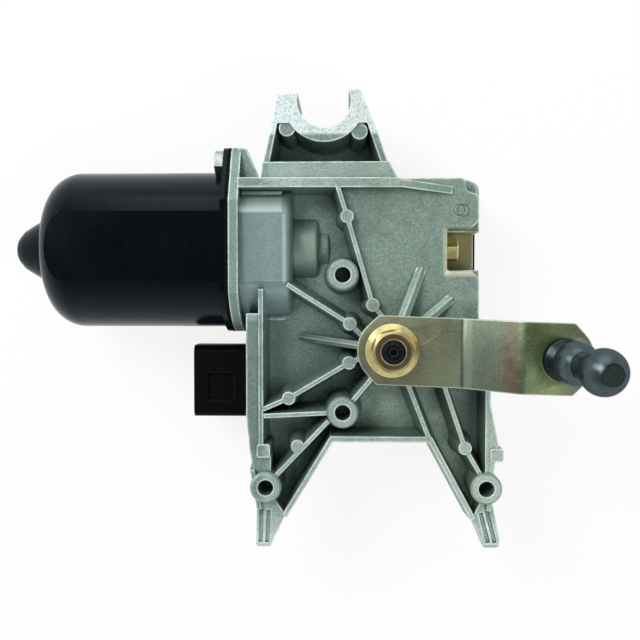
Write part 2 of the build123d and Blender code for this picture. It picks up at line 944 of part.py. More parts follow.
with BuildPart() as park_contacts:
    for reach, y in ((15.5, -4.0), (19.0, 0.0), (22.0, 4.0)):
        with BuildSketch(Plane.XZ.offset(-y)):
            with BuildLine():
                FilletPolyline(
                    (reach - 14.0, board_top + 0.2),
                    (reach - 9.0, board_top + 0.2),
                    (reach - 1.5, ring_back - free_gap - 0.7),
                    (reach, ring_back - free_gap - 0.2),
                    (reach + 1.5, ring_back - free_gap - 0.7),
                    radius=0.6,
                )
            trace(line_width=0.4)
        extrude(amount=1.0, both=True)
park_contacts.part.label = "park_contacts"
export_step(park_contacts.part, "parts/park_contacts.step")


# =====================================================================
# Worm wheel and the output shaft, which turn with the crank
# =====================================================================
wheel_hub_r = 10.0
wheel_web = 4.0
washer_thickness = 1.0
hub_face = wheel_ceiling - washer_thickness
base_r = wheel_pitch_r * math.cos(math.radians(pressure_angle))
twist = math.degrees(math.tan(math.radians(lead_angle)) * wheel_face / wheel_pitch_r)


def involute(angle):
    return math.tan(angle) - angle


def half_tooth(radius):
    """Half the angle, in radians, that a wheel tooth takes up at a radius."""
    at_pitch = (math.pi * tooth_module - backlash) / (4 * wheel_pitch_r)
    opening = involute(math.radians(pressure_angle)) - involute(math.acos(base_r / radius))
    return at_pitch + opening


def tooth_points(turn):
    """Outline of the toothed rim, a gap facing the worm when turn is 0."""
    points = []
    radii = (wheel_root_r, wheel_pitch_r, wheel_tip_r)
    for tooth in range(wheel_teeth):
        middle = math.radians(90 + turn) + 2 * math.pi * (tooth + 0.5) / wheel_teeth
        for radius in radii:
            points.append((radius, middle - half_tooth(radius)))
        for radius in reversed(radii):
            points.append((radius, middle + half_tooth(radius)))
    return [(radius * math.cos(angle), radius * math.sin(angle)) for radius, angle in points]


with BuildPart() as worm_wheel:
    for level, turn in ((wheel_back, -twist / 2), (wheel_front, twist / 2)):
        with BuildSketch(Plane.XY.offset(level)):
            with BuildLine():
                Polyline(tooth_points(turn), close=True)
            make_face()
    loft(ruled=True)
    with BuildSketch(Plane.XY.offset(wheel_back + wheel_web)):
        Circle(wheel_root_r - 2.2)
        Circle(wheel_hub_r, mode=Mode.SUBTRACT)
    extrude(amount=wheel_face, mode=Mode.SUBTRACT)
    with BuildSketch(Plane.XY.offset(wheel_back + wheel_web)):
        with PolarLocations((wheel_hub_r + wheel_root_r - 2.2) / 2, 8):
            Rectangle(wheel_root_r - 2.2 - wheel_hub_r + 1, 1.6)
    extrude(amount=wheel_face - wheel_web - 1)
    with BuildSketch(Plane.XY.offset(wheel_back - 2.5)):
        Circle(wheel_hub_r)
    extrude(amount=hub_face - wheel_back + 2.5)
    with BuildSketch(Plane.XY.offset(wheel_back - 2.5)):
        Circle(output_r + snug)
    extrude(amount=40, mode=Mode.SUBTRACT)
worm_wheel.part.label = "worm_wheel"
export_step(worm_wheel.part, "parts/worm_wheel.step")

with BuildPart() as park_ring:
    with BuildSketch(Plane.XY.offset(ring_back)):
        Circle(ring_outer_r)
        Circle(ring_inner_r, mode=Mode.SUBTRACT)
        with BuildLine():
            Polyline((0, 0), (-40, 12), (-40, -12), close=True)
        make_face(mode=Mode.SUBTRACT)
        Circle(ring_outer_r - 4)
        Circle(ring_inner_r, mode=Mode.SUBTRACT)
    extrude(amount=wheel_back - ring_back)
park_ring.part.label = "park_ring"
export_step(park_ring.part, "parts/park_ring.step")

with BuildPart() as output_shaft:
    with BuildSketch(Plane.XZ):
        with BuildLine():
            Polyline(
                (0, wheel_back - 2.5),
                (output_r - 0.6, wheel_back - 2.5),
                (output_r, wheel_back - 1.9),
                (output_r, clip_z),
                (clip_groove_r, clip_z),
                (clip_groove_r, clip_z + clip_groove),
                (output_r, clip_z + clip_groove),
                (output_r, arm_bottom - 0.6),
                (taper_r + taper_fall, arm_bottom),
                (taper_r + 0.1, arm_bottom + arm_thickness - 0.4),
                (thread_r, nut_seat),
                (thread_r, shaft_tip - 1.0),
                (thread_r - 1.2, shaft_tip),
                (0, shaft_tip),
                close=True,
            )
        make_face()
    revolve(axis=Axis.Z)
    with BuildSketch(Plane.XY.offset(shaft_tip)):
        Circle(1.2)
    extrude(amount=-1.4, mode=Mode.SUBTRACT, taper=30)
output_shaft.part.label = "output_shaft"
export_step(output_shaft.part, "parts/output_shaft.step")

for name, low in (("lower_bush", wheel_ceiling), ("upper_bush", hub_top - bush_length)):
    with BuildPart() as bush:
        with BuildSketch(Plane.XY.offset(low)):
            Circle(bush_r - snug)
            Circle(output_r + running, mode=Mode.SUBTRACT)
        extrude(amount=bush_length)
    bush.part.label = name
    export_step(bush.part, f"parts/{name}.step")

for name, low in (("inner_washer", hub_face), ("outer_washer", hub_top)):
    with BuildPart() as washer:
        with BuildSketch(Plane.XY.offset(low)):
            Circle(hub_r - 1.6)
            Circle(output_r + running, mode=Mode.SUBTRACT)
        extrude(amount=washer_thickness)
    washer.part.label = name
    export_step(washer.part, f"parts/{name}.step")

with BuildPart() as retaining_clip:
    with BuildSketch(Plane.XY.offset(clip_z + 0.1)):
        Circle(clip_r)
        Circle(clip_groove_r + snug, mode=Mode.SUBTRACT)
        with Locations((0, -clip_r)):
            Rectangle(2.6, 2 * clip_r, mode=Mode.SUBTRACT)
    extrude(amount=clip_groove - 0.2)
retaining_clip.part.label = "retaining_clip"
export_step(retaining_clip.part, "parts/retaining_clip.step")


# =====================================================================
# Crank arm, its nut and the double ball stud
# =====================================================================
stud_turn = math.radians(arm_angle)
along_arm = Vector(math.cos(stud_turn), math.sin(stud_turn), 0)
crank_plan = Plane(origin=(0, 0, 0), x_dir=along_arm, z_dir=(0, 0, 1))
crank_side = Plane(origin=(0, 0, 0), x_dir=along_arm, z_dir=along_arm.cross(Vector(0, 0, 1)))
pad_fall = math.tan(math.radians(stud_lean))
arm_mid = arm_bottom + arm_thickness / 2
arm_half = arm_width / 2
arm_end_x = arm_pad_x + arm_half
corner = arm_half * math.tan(math.radians(22.5))
tangent = arm_half * math.sin(math.radians(45))

# the stud stands square to the sloping pad, but for a small lean to one side,
# and seats in a spot face that takes up that lean
lean = math.radians(stud_lean)
side_lean = math.radians(stud_side_lean)
pad_top = arm_mid + arm_rise - (stud_x - bend_end) * pad_fall + arm_thickness / 2 / math.cos(lean)
across_arm = Vector(0, 0, 1).cross(along_arm)
pad_slope = along_arm * math.cos(lean) - Vector(0, 0, 1) * math.sin(lean)
pad_normal = along_arm * math.sin(lean) + Vector(0, 0, 1) * math.cos(lean)
stud_axis = pad_normal * math.cos(side_lean) - across_arm * math.sin(side_lean)
stud_foot = along_arm * stud_x + Vector(0, 0, pad_top - stud_seat_depth)
stud_plane = Plane(origin=stud_foot, x_dir=pad_slope, z_dir=stud_axis)
stud_profile = Plane(origin=stud_foot, x_dir=pad_slope, z_dir=pad_slope.cross(stud_axis))
stud_bore_r = 4.5
stud_grip = arm_thickness - 2 * stud_seat_depth

with BuildPart() as crank_arm:
    with BuildSketch(crank_side):
        with BuildLine():
            FilletPolyline(
                (-arm_half - 1, arm_mid),
                (bend_start, arm_mid),
                (bend_end, arm_mid + arm_rise),
                (arm_end_x + 1, arm_mid + arm_rise - (arm_end_x + 1 - bend_end) * pad_fall),
                radius=bend_radius,
            )
        trace(line_width=arm_thickness)
    extrude(amount=arm_width, both=True)
    # outline: both ends round, with a flat across each corner
    with BuildSketch(crank_plan):
        with Locations((0, 0), (arm_pad_x, 0)):
            Circle(arm_half)
        with BuildLine():
            Polyline(
                (-corner, arm_half),
                (arm_pad_x + corner, arm_half),
                (arm_pad_x + tangent, tangent),
                (arm_pad_x + tangent, -tangent),
                (arm_pad_x + corner, -arm_half),
                (-corner, -arm_half),
                (-tangent, -tangent),
                (-tangent, tangent),
                close=True,
            )
        make_face()
    extrude(amount=arm_bottom + arm_rise + 20, mode=Mode.INTERSECT)
    # tapered hole on the shaft
    with BuildSketch(crank_plan.offset(arm_bottom)):
        Circle(taper_r + taper_fall + snug)
    with BuildSketch(crank_plan.offset(arm_bottom + arm_thickness)):
        Circle(taper_r + snug)
    loft(mode=Mode.SUBTRACT)
    # hole for the riveted stud, spot faced on both sides
    with BuildSketch(stud_plane.offset(-2 * arm_thickness)):
        Circle(stud_bore_r + snug)
    extrude(amount=4 * arm_thickness, mode=Mode.SUBTRACT)
    with BuildSketch(stud_plane):
        Circle(stud_collar_r + free_gap)
    extrude(amount=arm_thickness, mode=Mode.SUBTRACT)
    with BuildSketch(stud_plane.offset(-stud_grip)):
        Circle(stud_bore_r + 1.6 + free_gap)
    extrude(amount=-arm_thickness, mode=Mode.SUBTRACT)
crank_arm.part.label = "crank_arm"
export_step(crank_arm.part, "parts/crank_arm.step")

with BuildPart() as crank_nut:
    with BuildSketch(crank_side):
        with BuildLine():
            Polyline(
                (0, nut_seat),
                (nut_flange_r, nut_seat),
                (nut_flange_r, nut_seat + 1.0),
                (nut_hex / 2 + 0.6, nut_seat + 2.4),
                (0, nut_seat + 2.4),
                close=True,
            )
        make_face()
    revolve(axis=Axis.Z)
    with BuildSketch(crank_plan.offset(nut_seat + 1.0)):
        RegularPolygon(nut_hex / 2, 6, major_radius=False, rotation=nut_turn)
    extrude(amount=nut_height - 1.0)
    with BuildSketch(crank_side):
        with BuildLine():
            Polyline(
                (nut_face_r, nut_seat + nut_height),
                (nut_face_r, nut_seat + nut_height + 1),
                (nut_face_r + 2, nut_seat + nut_height + 1),
                (nut_face_r + 2, nut_seat + nut_height - 1.2),
                close=True,
            )
            Polyline(
                (thread_r, nut_seat + nut_height - 0.5),
                (thread_r, nut_seat + nut_height),
                (thread_r + 0.5, nut_seat + nut_height),
                close=True,
            )
        make_face()
    revolve(axis=Axis.Z, mode=Mode.SUBTRACT)
    with BuildSketch(crank_plan.offset(nut_seat)):
        Circle(thread_r + snug)
    extrude(amount=nut_height, mode=Mode.SUBTRACT)
crank_nut.part.label = "crank_nut"
export_step(crank_nut.part, "parts/crank_nut.step")

with BuildPart() as ball_stud:
    ball_tip = upper_ball + math.sqrt(ball_r**2 - ball_tip_r**2)
    with BuildSketch(stud_profile):
        with BuildLine():
            Polyline(
                (0, -stud_grip - 1.6),
                (stud_bore_r + 1.2, -stud_grip - 1.6),
                (stud_bore_r + 1.6, -stud_grip),
                (stud_bore_r, -stud_grip),
                (stud_bore_r, 0),
                (stud_collar_r, 0),
                (stud_collar_r, 2.0),
                (stud_neck_r, 3.4),
                (stud_neck_r, upper_ball),
                (0, upper_ball),
                close=True,
            )
        make_face()
        with Locations((0, lower_ball)):
            Circle(ball_r)
        with Locations((0, upper_ball)):
            Circle(ball_r)
        with Locations((-2 * ball_r, upper_ball / 2)):
            Rectangle(4 * ball_r, 2 * upper_ball, mode=Mode.SUBTRACT)
        with Locations((0, ball_tip + ball_r)):
            Rectangle(4 * ball_r, 2 * ball_r, mode=Mode.SUBTRACT)
    revolve(axis=Axis(stud_plane.origin, stud_axis))
ball_stud.part.label = "ball_stud"
export_step(ball_stud.part, "parts/ball_stud.step")


# =====================================================================
# Armature: shaft with rolled worm, stack, windings and commutator
# =====================================================================
shaft_end = 13.6
shaft_rear = -136.5
thrust_ball_r = 2.5
thrust_ball_seat = 1.6
worm_start = -worm_length / 2
stack_start = -110.0
stack_length = 34.0
stack_r = 19.9
commutator_start = -65.0
commutator_length = 14.0
commutator_r = 10.5
slots = 12
slot_depth = 8.0
slot_width = 4.2
slot_mouth = 1.8
slot_middle_r = 14.0
end_turn_length = 7.0
inner_ring_r = 5.9
thrust_head_x = 22.3
thrust_head = 4.1
thrust_hex = 8.0
nose_bore_r = 5.0
bush_start = nose_end + can_wall
rear_bush_length = 8.0
can_screw_hex = 8.0
can_screw_head = 3.4
magnet_start = -113.0
magnet_length = 42.0
magnet_inner_r = 20.6
magnet_half_height = 20.5
clip_half = 14.0
brush_size = 5.0
brush_length = 7.0
guide_end = neck_bore_r - 0.9
guide_wall = 0.6
card_thickness = 2.0
guide_start = 1.2

helix_start = Edge.make_helix(worm_lead, worm_length, worm_pitch_r, (0, motor_y, motor_z), (1, 0, 0)) @ 0
start_angle = math.degrees(math.atan2(helix_start.Z - motor_z, helix_start.Y - motor_y))
turns_before = math.ceil(worm_length / 2 / worm_lead)
thread_x = -worm_lead * (turns_before + (180 - start_angle) / 360)
thread_half = (math.pi * tooth_module - backlash) / 4
flank = math.tan(math.radians(pressure_angle))
thread_sink = 0.15

with BuildPart() as worm_thread:
    with BuildLine():
        thread_path = Helix(
            pitch=worm_lead,
            height=2 * (turns_before + 1) * worm_lead,
            radius=worm_pitch_r,
            center=(thread_x, motor_y, motor_z),
            direction=(1, 0, 0),
        )
    with BuildSketch(
        Plane(
            origin=thread_path @ 0,
            x_dir=(0, (thread_path @ 0).Y - motor_y, (thread_path @ 0).Z - motor_z),
            z_dir=thread_path % 0,
        )
    ):
        with BuildLine():
            Polyline(
                (addendum, thread_half - addendum * flank),
                (addendum, -thread_half + addendum * flank),
                (-dedendum - thread_sink, -thread_half - (dedendum + thread_sink) * flank),
                (-dedendum - thread_sink, thread_half + (dedendum + thread_sink) * flank),
                close=True,
            )
        make_face()
    sweep(path=thread_path, is_frenet=True)
    # both ends squared off
    with BuildSketch(x_plane(worm_start)):
        with Locations((motor_y, motor_z)):
            Circle(worm_tip_r + 2)
    extrude(amount=worm_length, mode=Mode.INTERSECT)

with BuildPart() as armature_shaft:
    with BuildSketch(along):
        with BuildLine():
            Polyline(
                (shaft_rear, 0),
                (shaft_rear, armature_r - 0.5),
                (shaft_rear + 0.5, armature_r),
                (bearing_x + bearing_width + 1.5, armature_r),
                (bearing_x + bearing_width + 1.5, worm_root_r),
                (shaft_end - 0.5, worm_root_r),
                (shaft_end, worm_root_r - 0.5),
                (shaft_end, thrust_ball_r + snug),
                (shaft_end - thrust_ball_seat, thrust_ball_r + snug),
                (shaft_end - thrust_ball_seat, 0),
                close=True,
            )
        make_face()
    revolve(axis=motor_axis)
    add(worm_thread.part)
armature_shaft.part.label = "armature_shaft"
export_step(armature_shaft.part, "parts/armature_shaft.step")

with BuildPart() as lamination_stack:
    with BuildSketch(x_plane(stack_start)):
        with Locations((motor_y, motor_z)):
            Circle(stack_r)
            Circle(armature_r + snug, mode=Mode.SUBTRACT)
        with Locations((motor_y, motor_z)):
            with PolarLocations(slot_middle_r, slots):
                RectangleRounded(slot_depth, slot_width, 1.2, mode=Mode.SUBTRACT)
            with PolarLocations(stack_r, slots):
                Rectangle(6.0, slot_mouth, mode=Mode.SUBTRACT)
    extrude(amount=stack_length)
lamination_stack.part.label = "lamination_stack"
export_step(lamination_stack.part, "parts/lamination_stack.step")

with BuildPart() as windings:
    # end turns, a ring of lobes on each side of the stack
    for start in (stack_start - end_turn_length, stack_start + stack_length):
        with BuildSketch(x_plane(start)):
            with Locations((motor_y, motor_z)):
                Circle(slot_middle_r + 1.5)
                with PolarLocations(slot_middle_r + 1.0, slots):
                    Circle(3.4)
                Circle(armature_r + 3.0, mode=Mode.SUBTRACT)
        extrude(amount=end_turn_length)
    # coil sides lying in the slots
    with BuildSketch(x_plane(stack_start)):
        with Locations((motor_y, motor_z)):
            with PolarLocations(slot_middle_r, slots):
                Rectangle(slot_depth - 1.0, slot_width - 1.0)
    extrude(amount=stack_length)
windings.part.label = "windings"
export_step(windings.part, "parts/windings.step")

with BuildPart() as commutator:
    with BuildSketch(x_plane(commutator_start)):
        with Locations((motor_y, motor_z)):
            Circle(commutator_r)
            Circle(armature_r + snug, mode=Mode.SUBTRACT)
            with PolarLocations(commutator_r, slots):
                Rectangle(2.0, 0.6, mode=Mode.SUBTRACT)
    extrude(amount=commutator_length)
    with BuildSketch(x_plane(commutator_start)):
        with Locations((motor_y, motor_z)):
            Circle(commutator_r + 1.4)
            Circle(armature_r + snug, mode=Mode.SUBTRACT)
    extrude(amount=-2.4)
commutator.part.label = "commutator"
export_step(commutator.part, "parts/commutator.step")

# front ball bearing, its shields closing the gap between the rings
with BuildPart() as bearing_inner_ring:
    with BuildSketch(x_plane(bearing_x)):
        with Locations((motor_y, motor_z)):
            Circle(inner_ring_r)
            Circle(armature_r + snug, mode=Mode.SUBTRACT)
    extrude(amount=bearing_width)
bearing_inner_ring.part.label = "bearing_inner_ring"
export_step(bearing_inner_ring.part, "parts/bearing_inner_ring.step")

with BuildPart() as bearing_outer_ring:
    with BuildSketch(along):
        with BuildLine():
            Polyline(
                (bearing_x, inner_ring_r + 0.2),
                (bearing_x, bearing_r),
                (bearing_x + bearing_width, bearing_r),
                (bearing_x + bearing_width, inner_ring_r + 0.2),
                (bearing_x + bearing_width - 0.5, inner_ring_r + 0.2),
                (bearing_x + bearing_width - 0.5, bearing_r - 1.8),
                (bearing_x + 0.5, bearing_r - 1.8),
                (bearing_x + 0.5, inner_ring_r + 0.2),
                close=True,
            )
        make_face()
    revolve(axis=motor_axis)
bearing_outer_ring.part.label = "bearing_outer_ring"
export_step(bearing_outer_ring.part, "parts/bearing_outer_ring.step")

with BuildPart() as bearing_retainer:
    with BuildSketch(x_plane(bearing_x - 1.0)):
        with Locations((motor_y, motor_z)):
            Circle(bearing_r)
            Circle(bearing_r - 2.6, mode=Mode.SUBTRACT)
            with PolarLocations(bearing_r - 2.6, 6):
                Rectangle(1.6, 2.0, mode=Mode.SUBTRACT)
    extrude(amount=1.0)
bearing_retainer.part.label = "bearing_retainer"
export_step(bearing_retainer.part, "parts/bearing_retainer.step")

with BuildPart() as thrust_ball:
    with BuildSketch(along):
        with Locations((shaft_end - thrust_ball_seat + thrust_ball_r, 0)):
            Circle(thrust_ball_r)
            Rectangle(
                6 * thrust_ball_r,
                6 * thrust_ball_r,
                align=(Align.CENTER, Align.MAX),
                mode=Mode.SUBTRACT,
            )
    revolve(axis=motor_axis)
thrust_ball.part.label = "thrust_ball"
export_step(thrust_ball.part, "parts/thrust_ball.step")

screw_tip = shaft_end - thrust_ball_seat + 2 * thrust_ball_r + 0.1
with BuildPart() as thrust_screw:
    with BuildSketch(x_plane(screw_tip)):
        with Locations((motor_y, motor_z)):
            Circle(thrust_screw_r)
    extrude(amount=thrust_head_x - screw_tip)
    with BuildSketch(x_plane(thrust_head_x)):
        with Locations((motor_y, motor_z)):
            RegularPolygon(thrust_hex / 2, 6, major_radius=False, rotation=20)
    extrude(amount=thrust_head)
    chamfer(thrust_screw.faces().sort_by(Axis.X)[-1].edges(), 0.5)
thrust_screw.part.label = "thrust_screw"
export_step(thrust_screw.part, "parts/thrust_screw.step")


# =====================================================================
# Motor can with its magnets, bush, brushes, gasket and screws
# =====================================================================
with BuildPart() as can_hollow:
    with BuildSketch(along):
        with BuildLine():
            Polyline(
                (can_flange_x, 0),
                (can_flange_x, can_r - can_wall),
                (can_end + can_dome_r, can_r - can_wall),
            )
            RadiusArc(
                (can_end + can_dome_r, can_r - can_wall),
                (can_end + can_wall, can_r - can_dome_r),
                -(can_dome_r - can_wall),
            )
            Polyline((can_end + can_wall, can_r - can_dome_r), (can_end + can_wall, 0), (can_flange_x, 0))
        make_face()
    revolve(axis=motor_axis)
    with BuildSketch(x_plane(can_end)):
        with Locations((motor_y, motor_z)):
            Rectangle(3 * can_r, 2 * (can_flat - can_wall))
    extrude(amount=can_flange_x - can_end, mode=Mode.INTERSECT)

with BuildPart() as motor_can:
    with BuildSketch(along):
        with BuildLine():
            Polyline(
                (can_flange_x, 0),
                (can_flange_x, can_r),
                (can_end + can_dome_r, can_r),
            )
            RadiusArc((can_end + can_dome_r, can_r), (can_end, can_r - can_dome_r), -can_dome_r)
            Line((can_end, can_r - can_dome_r), (can_end, nose_root_r))
            # flared root and rounded tip of the nose
            ThreePointArc(
                (can_end, nose_root_r),
                (can_end - 2.9, nose_r + 2.2),
                (nose_end + nose_length, nose_r),
            )
            RadiusArc((nose_end + nose_length, nose_r), (nose_end, nose_tip_r), -nose_length)
            Polyline((nose_end, nose_tip_r), (nose_end, 0), (can_flange_x, 0))
        make_face()
    revolve(axis=motor_axis)
    with BuildSketch(x_plane(nose_end)):
        with Locations((motor_y, motor_z)):
            Rectangle(3 * can_r, 2 * can_flat)
    extrude(amount=can_flange_x - nose_end, mode=Mode.INTERSECT)
    with BuildSketch(x_plane(can_flange_x)):
        with Locations((motor_y, motor_z)):
            Circle(flange_r)
        with Locations(*ears):
            Circle(ear_r)
        make_hull()
        with Locations((motor_y, motor_z)):
            Rectangle(4 * flange_r, 2 * can_flat, mode=Mode.INTERSECT)
    extrude(amount=can_flange)
    add(can_hollow.part, mode=Mode.SUBTRACT)
    with BuildSketch(x_plane(can_flange_x)):
        with Locations((motor_y, motor_z)):
            Circle(can_r - can_wall)
            Rectangle(3 * can_r, 2 * (can_flat - can_wall), mode=Mode.INTERSECT)
        with Locations(*ears):
            Circle(can_screw_r + free_gap)
    extrude(amount=can_flange, mode=Mode.SUBTRACT)
    # seat of the rear bush inside the nose
    with BuildSketch(x_plane(nose_end + can_wall)):
        with Locations((motor_y, motor_z)):
            Circle(nose_bore_r)
    extrude(amount=can_end - nose_end, mode=Mode.SUBTRACT)
motor_can.part.label = "motor_can"
export_step(motor_can.part, "parts/motor_can.step")

with BuildPart() as can_gasket:
    with BuildSketch(x_plane(can_flange_x + can_flange)):
        with Locations((motor_y, motor_z)):
            Circle(flange_r)
        with Locations(*ears):
            Circle(ear_r)
        make_hull()
        with Locations((motor_y, motor_z)):
            Rectangle(4 * flange_r, 2 * can_flat, mode=Mode.INTERSECT)
            Circle(neck_bore_r, mode=Mode.SUBTRACT)
        with Locations(*ears):
            Circle(can_screw_r + free_gap, mode=Mode.SUBTRACT)
    extrude(amount=gasket_thickness)
can_gasket.part.label = "can_gasket"
export_step(can_gasket.part, "parts/can_gasket.step")

with BuildPart() as can_screws:
    with BuildSketch(x_plane(can_flange_x)):
        for ear, angle in zip(ears, ear_angles):
            with Locations(ear):
                RegularPolygon(can_screw_hex / 2, 6, major_radius=False, rotation=angle + 30)
    extrude(amount=-can_screw_head)
    with BuildSketch(x_plane(can_flange_x)):
        with Locations(*ears):
            Circle(can_screw_r)
    extrude(amount=can_flange + gasket_thickness + mouth_flange)
can_screws.part.label = "can_screws"
export_step(can_screws.part, "parts/can_screws.step")

with BuildPart() as rear_bush:
    with BuildSketch(x_plane(bush_start)):
        with Locations((motor_y, motor_z)):
            Circle(nose_bore_r - snug)
            Circle(armature_r + running, mode=Mode.SUBTRACT)
    extrude(amount=rear_bush_length)
rear_bush.part.label = "rear_bush"
export_step(rear_bush.part, "parts/rear_bush.step")

for name, side in (("upper_magnet", 1), ("lower_magnet", -1)):
    with BuildPart() as magnet:
        with BuildSketch(x_plane(magnet_start)):
            with Locations((motor_y, motor_z)):
                Circle(can_r - can_wall - snug)
                Circle(magnet_inner_r, mode=Mode.SUBTRACT)
                Rectangle(3 * can_r, 2 * magnet_half_height, mode=Mode.INTERSECT)
            with Locations((motor_y - side * can_r, motor_z)):
                Rectangle(2 * can_r, 3 * can_r, mode=Mode.SUBTRACT)
        extrude(amount=magnet_length)
    magnet.part.label = name
    export_step(magnet.part, f"parts/{name}.step")

with BuildPart() as magnet_clips:
    foot_z = magnet_half_height + 0.4 + snug
    crest_z = can_flat - can_wall - 0.4 - snug
    with BuildSketch(x_plane(magnet_start + 4)):
        for side in (1, -1):
            with BuildLine():
                Polyline(
                    (motor_y - clip_half, motor_z + side * foot_z),
                    (motor_y - clip_half / 3, motor_z + side * foot_z),
                    (motor_y - clip_half / 5, motor_z + side * crest_z),
                    (motor_y + clip_half / 5, motor_z + side * crest_z),
                    (motor_y + clip_half / 3, motor_z + side * foot_z),
                    (motor_y + clip_half, motor_z + side * foot_z),
                )
            trace(line_width=0.8)
    extrude(amount=magnet_length - 8)
magnet_clips.part.label = "magnet_clips"
export_step(magnet_clips.part, "parts/magnet_clips.step")

brush_angles = (90, 210, 330)
guide_middle_r = (commutator_r + guide_start + guide_end) / 2
guide_bore_r = (commutator_r + guide_end - guide_wall) / 2

with BuildPart() as brush_card:
    with BuildSketch(x_plane(mouth_x)):
        with Locations((motor_y, motor_z)):
            Circle(neck_bore_r - snug)
            Circle(commutator_r + 2.5, mode=Mode.SUBTRACT)
    extrude(amount=card_thickness)
    # box guides, one for each brush
    with BuildSketch(x_plane(mouth_x)):
        with Locations((motor_y, motor_z)):
            with PolarLocations(guide_middle_r, 3, start_angle=brush_angles[0]):
                Rectangle(guide_end - commutator_r - guide_start, brush_size + 2.4)
    extrude(amount=-brush_size - 2.0)
    with BuildSketch(x_plane(mouth_x - 1.0)):
        with Locations((motor_y, motor_z)):
            with PolarLocations(guide_bore_r, 3, start_angle=brush_angles[0]):
                Rectangle(guide_end - guide_wall - commutator_r, brush_size + 0.2)
    extrude(amount=-brush_size - 0.2, mode=Mode.SUBTRACT)
brush_card.part.label = "brush_card"
export_step(brush_card.part, "parts/brush_card.step")

with BuildPart() as brushes:
    with BuildSketch(x_plane(mouth_x - 1.1)):
        with Locations((motor_y, motor_z)):
            with PolarLocations(commutator_r + 0.2 + brush_length / 2, 3, start_angle=brush_angles[0]):
                Rectangle(brush_length, brush_size)
    extrude(amount=-brush_size)
brushes.part.label = "brushes"
export_step(brushes.part, "parts/brushes.step")

with BuildPart() as brush_springs:
    spring_foot = commutator_r + 0.2 + brush_length
    with BuildSketch(x_plane(mouth_x - 2.0)):
        for angle in brush_angles:
            with Locations(Location((motor_y, motor_z, 0), (0, 0, angle))):
                Polygon(
                    (spring_foot, 0),
                    (guide_end - guide_wall - 0.05, -2.4),
                    (guide_end - guide_wall - 0.05, -1.7),
                    (spring_foot + 0.7, 0),
                    (guide_end - guide_wall - 0.05, 1.7),
                    (guide_end - guide_wall - 0.05, 2.4),
                    align=None,
                )
    extrude(amount=-brush_size + 1.8)
brush_springs.part.label = "brush_springs"
export_step(brush_springs.part, "parts/brush_springs.step")
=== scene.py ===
import math
import bpy
from mathutils import Matrix, Vector


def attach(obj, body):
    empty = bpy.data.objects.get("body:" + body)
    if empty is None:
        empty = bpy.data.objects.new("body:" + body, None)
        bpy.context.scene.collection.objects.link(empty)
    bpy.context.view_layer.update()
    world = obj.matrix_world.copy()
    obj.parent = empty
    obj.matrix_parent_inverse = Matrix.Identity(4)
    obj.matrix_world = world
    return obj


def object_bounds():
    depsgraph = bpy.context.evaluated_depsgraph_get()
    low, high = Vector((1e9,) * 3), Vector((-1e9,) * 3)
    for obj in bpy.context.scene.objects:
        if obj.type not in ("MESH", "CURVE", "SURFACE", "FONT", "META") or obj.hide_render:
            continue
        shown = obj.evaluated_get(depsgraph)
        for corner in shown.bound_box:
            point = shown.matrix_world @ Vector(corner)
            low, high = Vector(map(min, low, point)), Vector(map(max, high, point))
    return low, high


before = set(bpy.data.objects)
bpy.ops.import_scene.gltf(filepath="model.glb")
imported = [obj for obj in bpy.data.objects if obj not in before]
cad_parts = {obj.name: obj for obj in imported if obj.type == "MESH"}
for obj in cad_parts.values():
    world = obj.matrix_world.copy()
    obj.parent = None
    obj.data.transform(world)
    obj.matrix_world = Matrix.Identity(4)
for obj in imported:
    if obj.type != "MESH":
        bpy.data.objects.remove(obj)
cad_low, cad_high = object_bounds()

MM = 0.001


# ---------------------------------------------------------------- bench, light and camera
# The motor lies on the back of its cover, on a bench of matt white paper.
# Four soft boxes and a pale room light it, and the camera looks down along the crank.

class Recipe:
    """The steps of one finish: each step is a node, fed by values or by earlier steps."""

    def __init__(self, tree):
        self.tree = tree

    def feed(self, socket, value):
        """Links a step's output to a socket, or sets the socket to a value."""
        if isinstance(value, bpy.types.NodeSocket):
            self.tree.links.new(value, socket)
        else:
            socket.default_value = value

    def node(self, kind, settings=None, **feeds):
        """One step. A feed goes by its socket's name, or by i and the socket's number."""
        step = self.tree.nodes.new(kind)
        for key, value in (settings or {}).items():
            setattr(step, key, value)
        for key, value in feeds.items():
            numbered = key[0] == "i" and key[1:].isdigit()
            self.feed(step.inputs[int(key[1:]) if numbered else key], value)
        return step

    def combine(self, operation, first, second):
        """Two steps or values put together by an operation of the Math node."""
        return self.node("ShaderNodeMath", {"operation": operation}, i0=first, i1=second).outputs[0]

    def times(self, result, *others):
        """The product of steps and values."""
        for other in others:
            result = self.combine("MULTIPLY", result, other)
        return result

    def ramp(self, value, low, high, start=0.0, end=1.0):
        """From start to end while a value goes from low to high."""
        return self.node("ShaderNodeMapRange", i0=value, i1=low, i2=high, i3=start, i4=end).outputs[0]

    def blend(self, share, first, second, kind="MIX"):
        """Two tones mixed by a share from 0 to 1. A tone is a step or (red, green, blue)."""
        step = self.node("ShaderNodeMix", {"data_type": "RGBA", "blend_type": kind}, i0=share)
        for number, tone in ((6, first), (7, second)):
            self.feed(step.inputs[number], (*tone, 1) if isinstance(tone, tuple) else tone)
        return step.outputs[2]

    def coat(self, feeds):
        """Feeds the shader's sockets, each given by its name."""
        for name, value in feeds.items():
            self.feed(self.tree.nodes["Principled BSDF"].inputs[name], value)


def new_finish(name, recipe=Recipe):
    """A fresh material and the recipe that fills it."""
    finish = bpy.data.materials.new(name)
    finish.use_nodes = True
    return finish, recipe(finish.node_tree)


scene = bpy.context.scene
scene.view_settings.view_transform = "Standard"

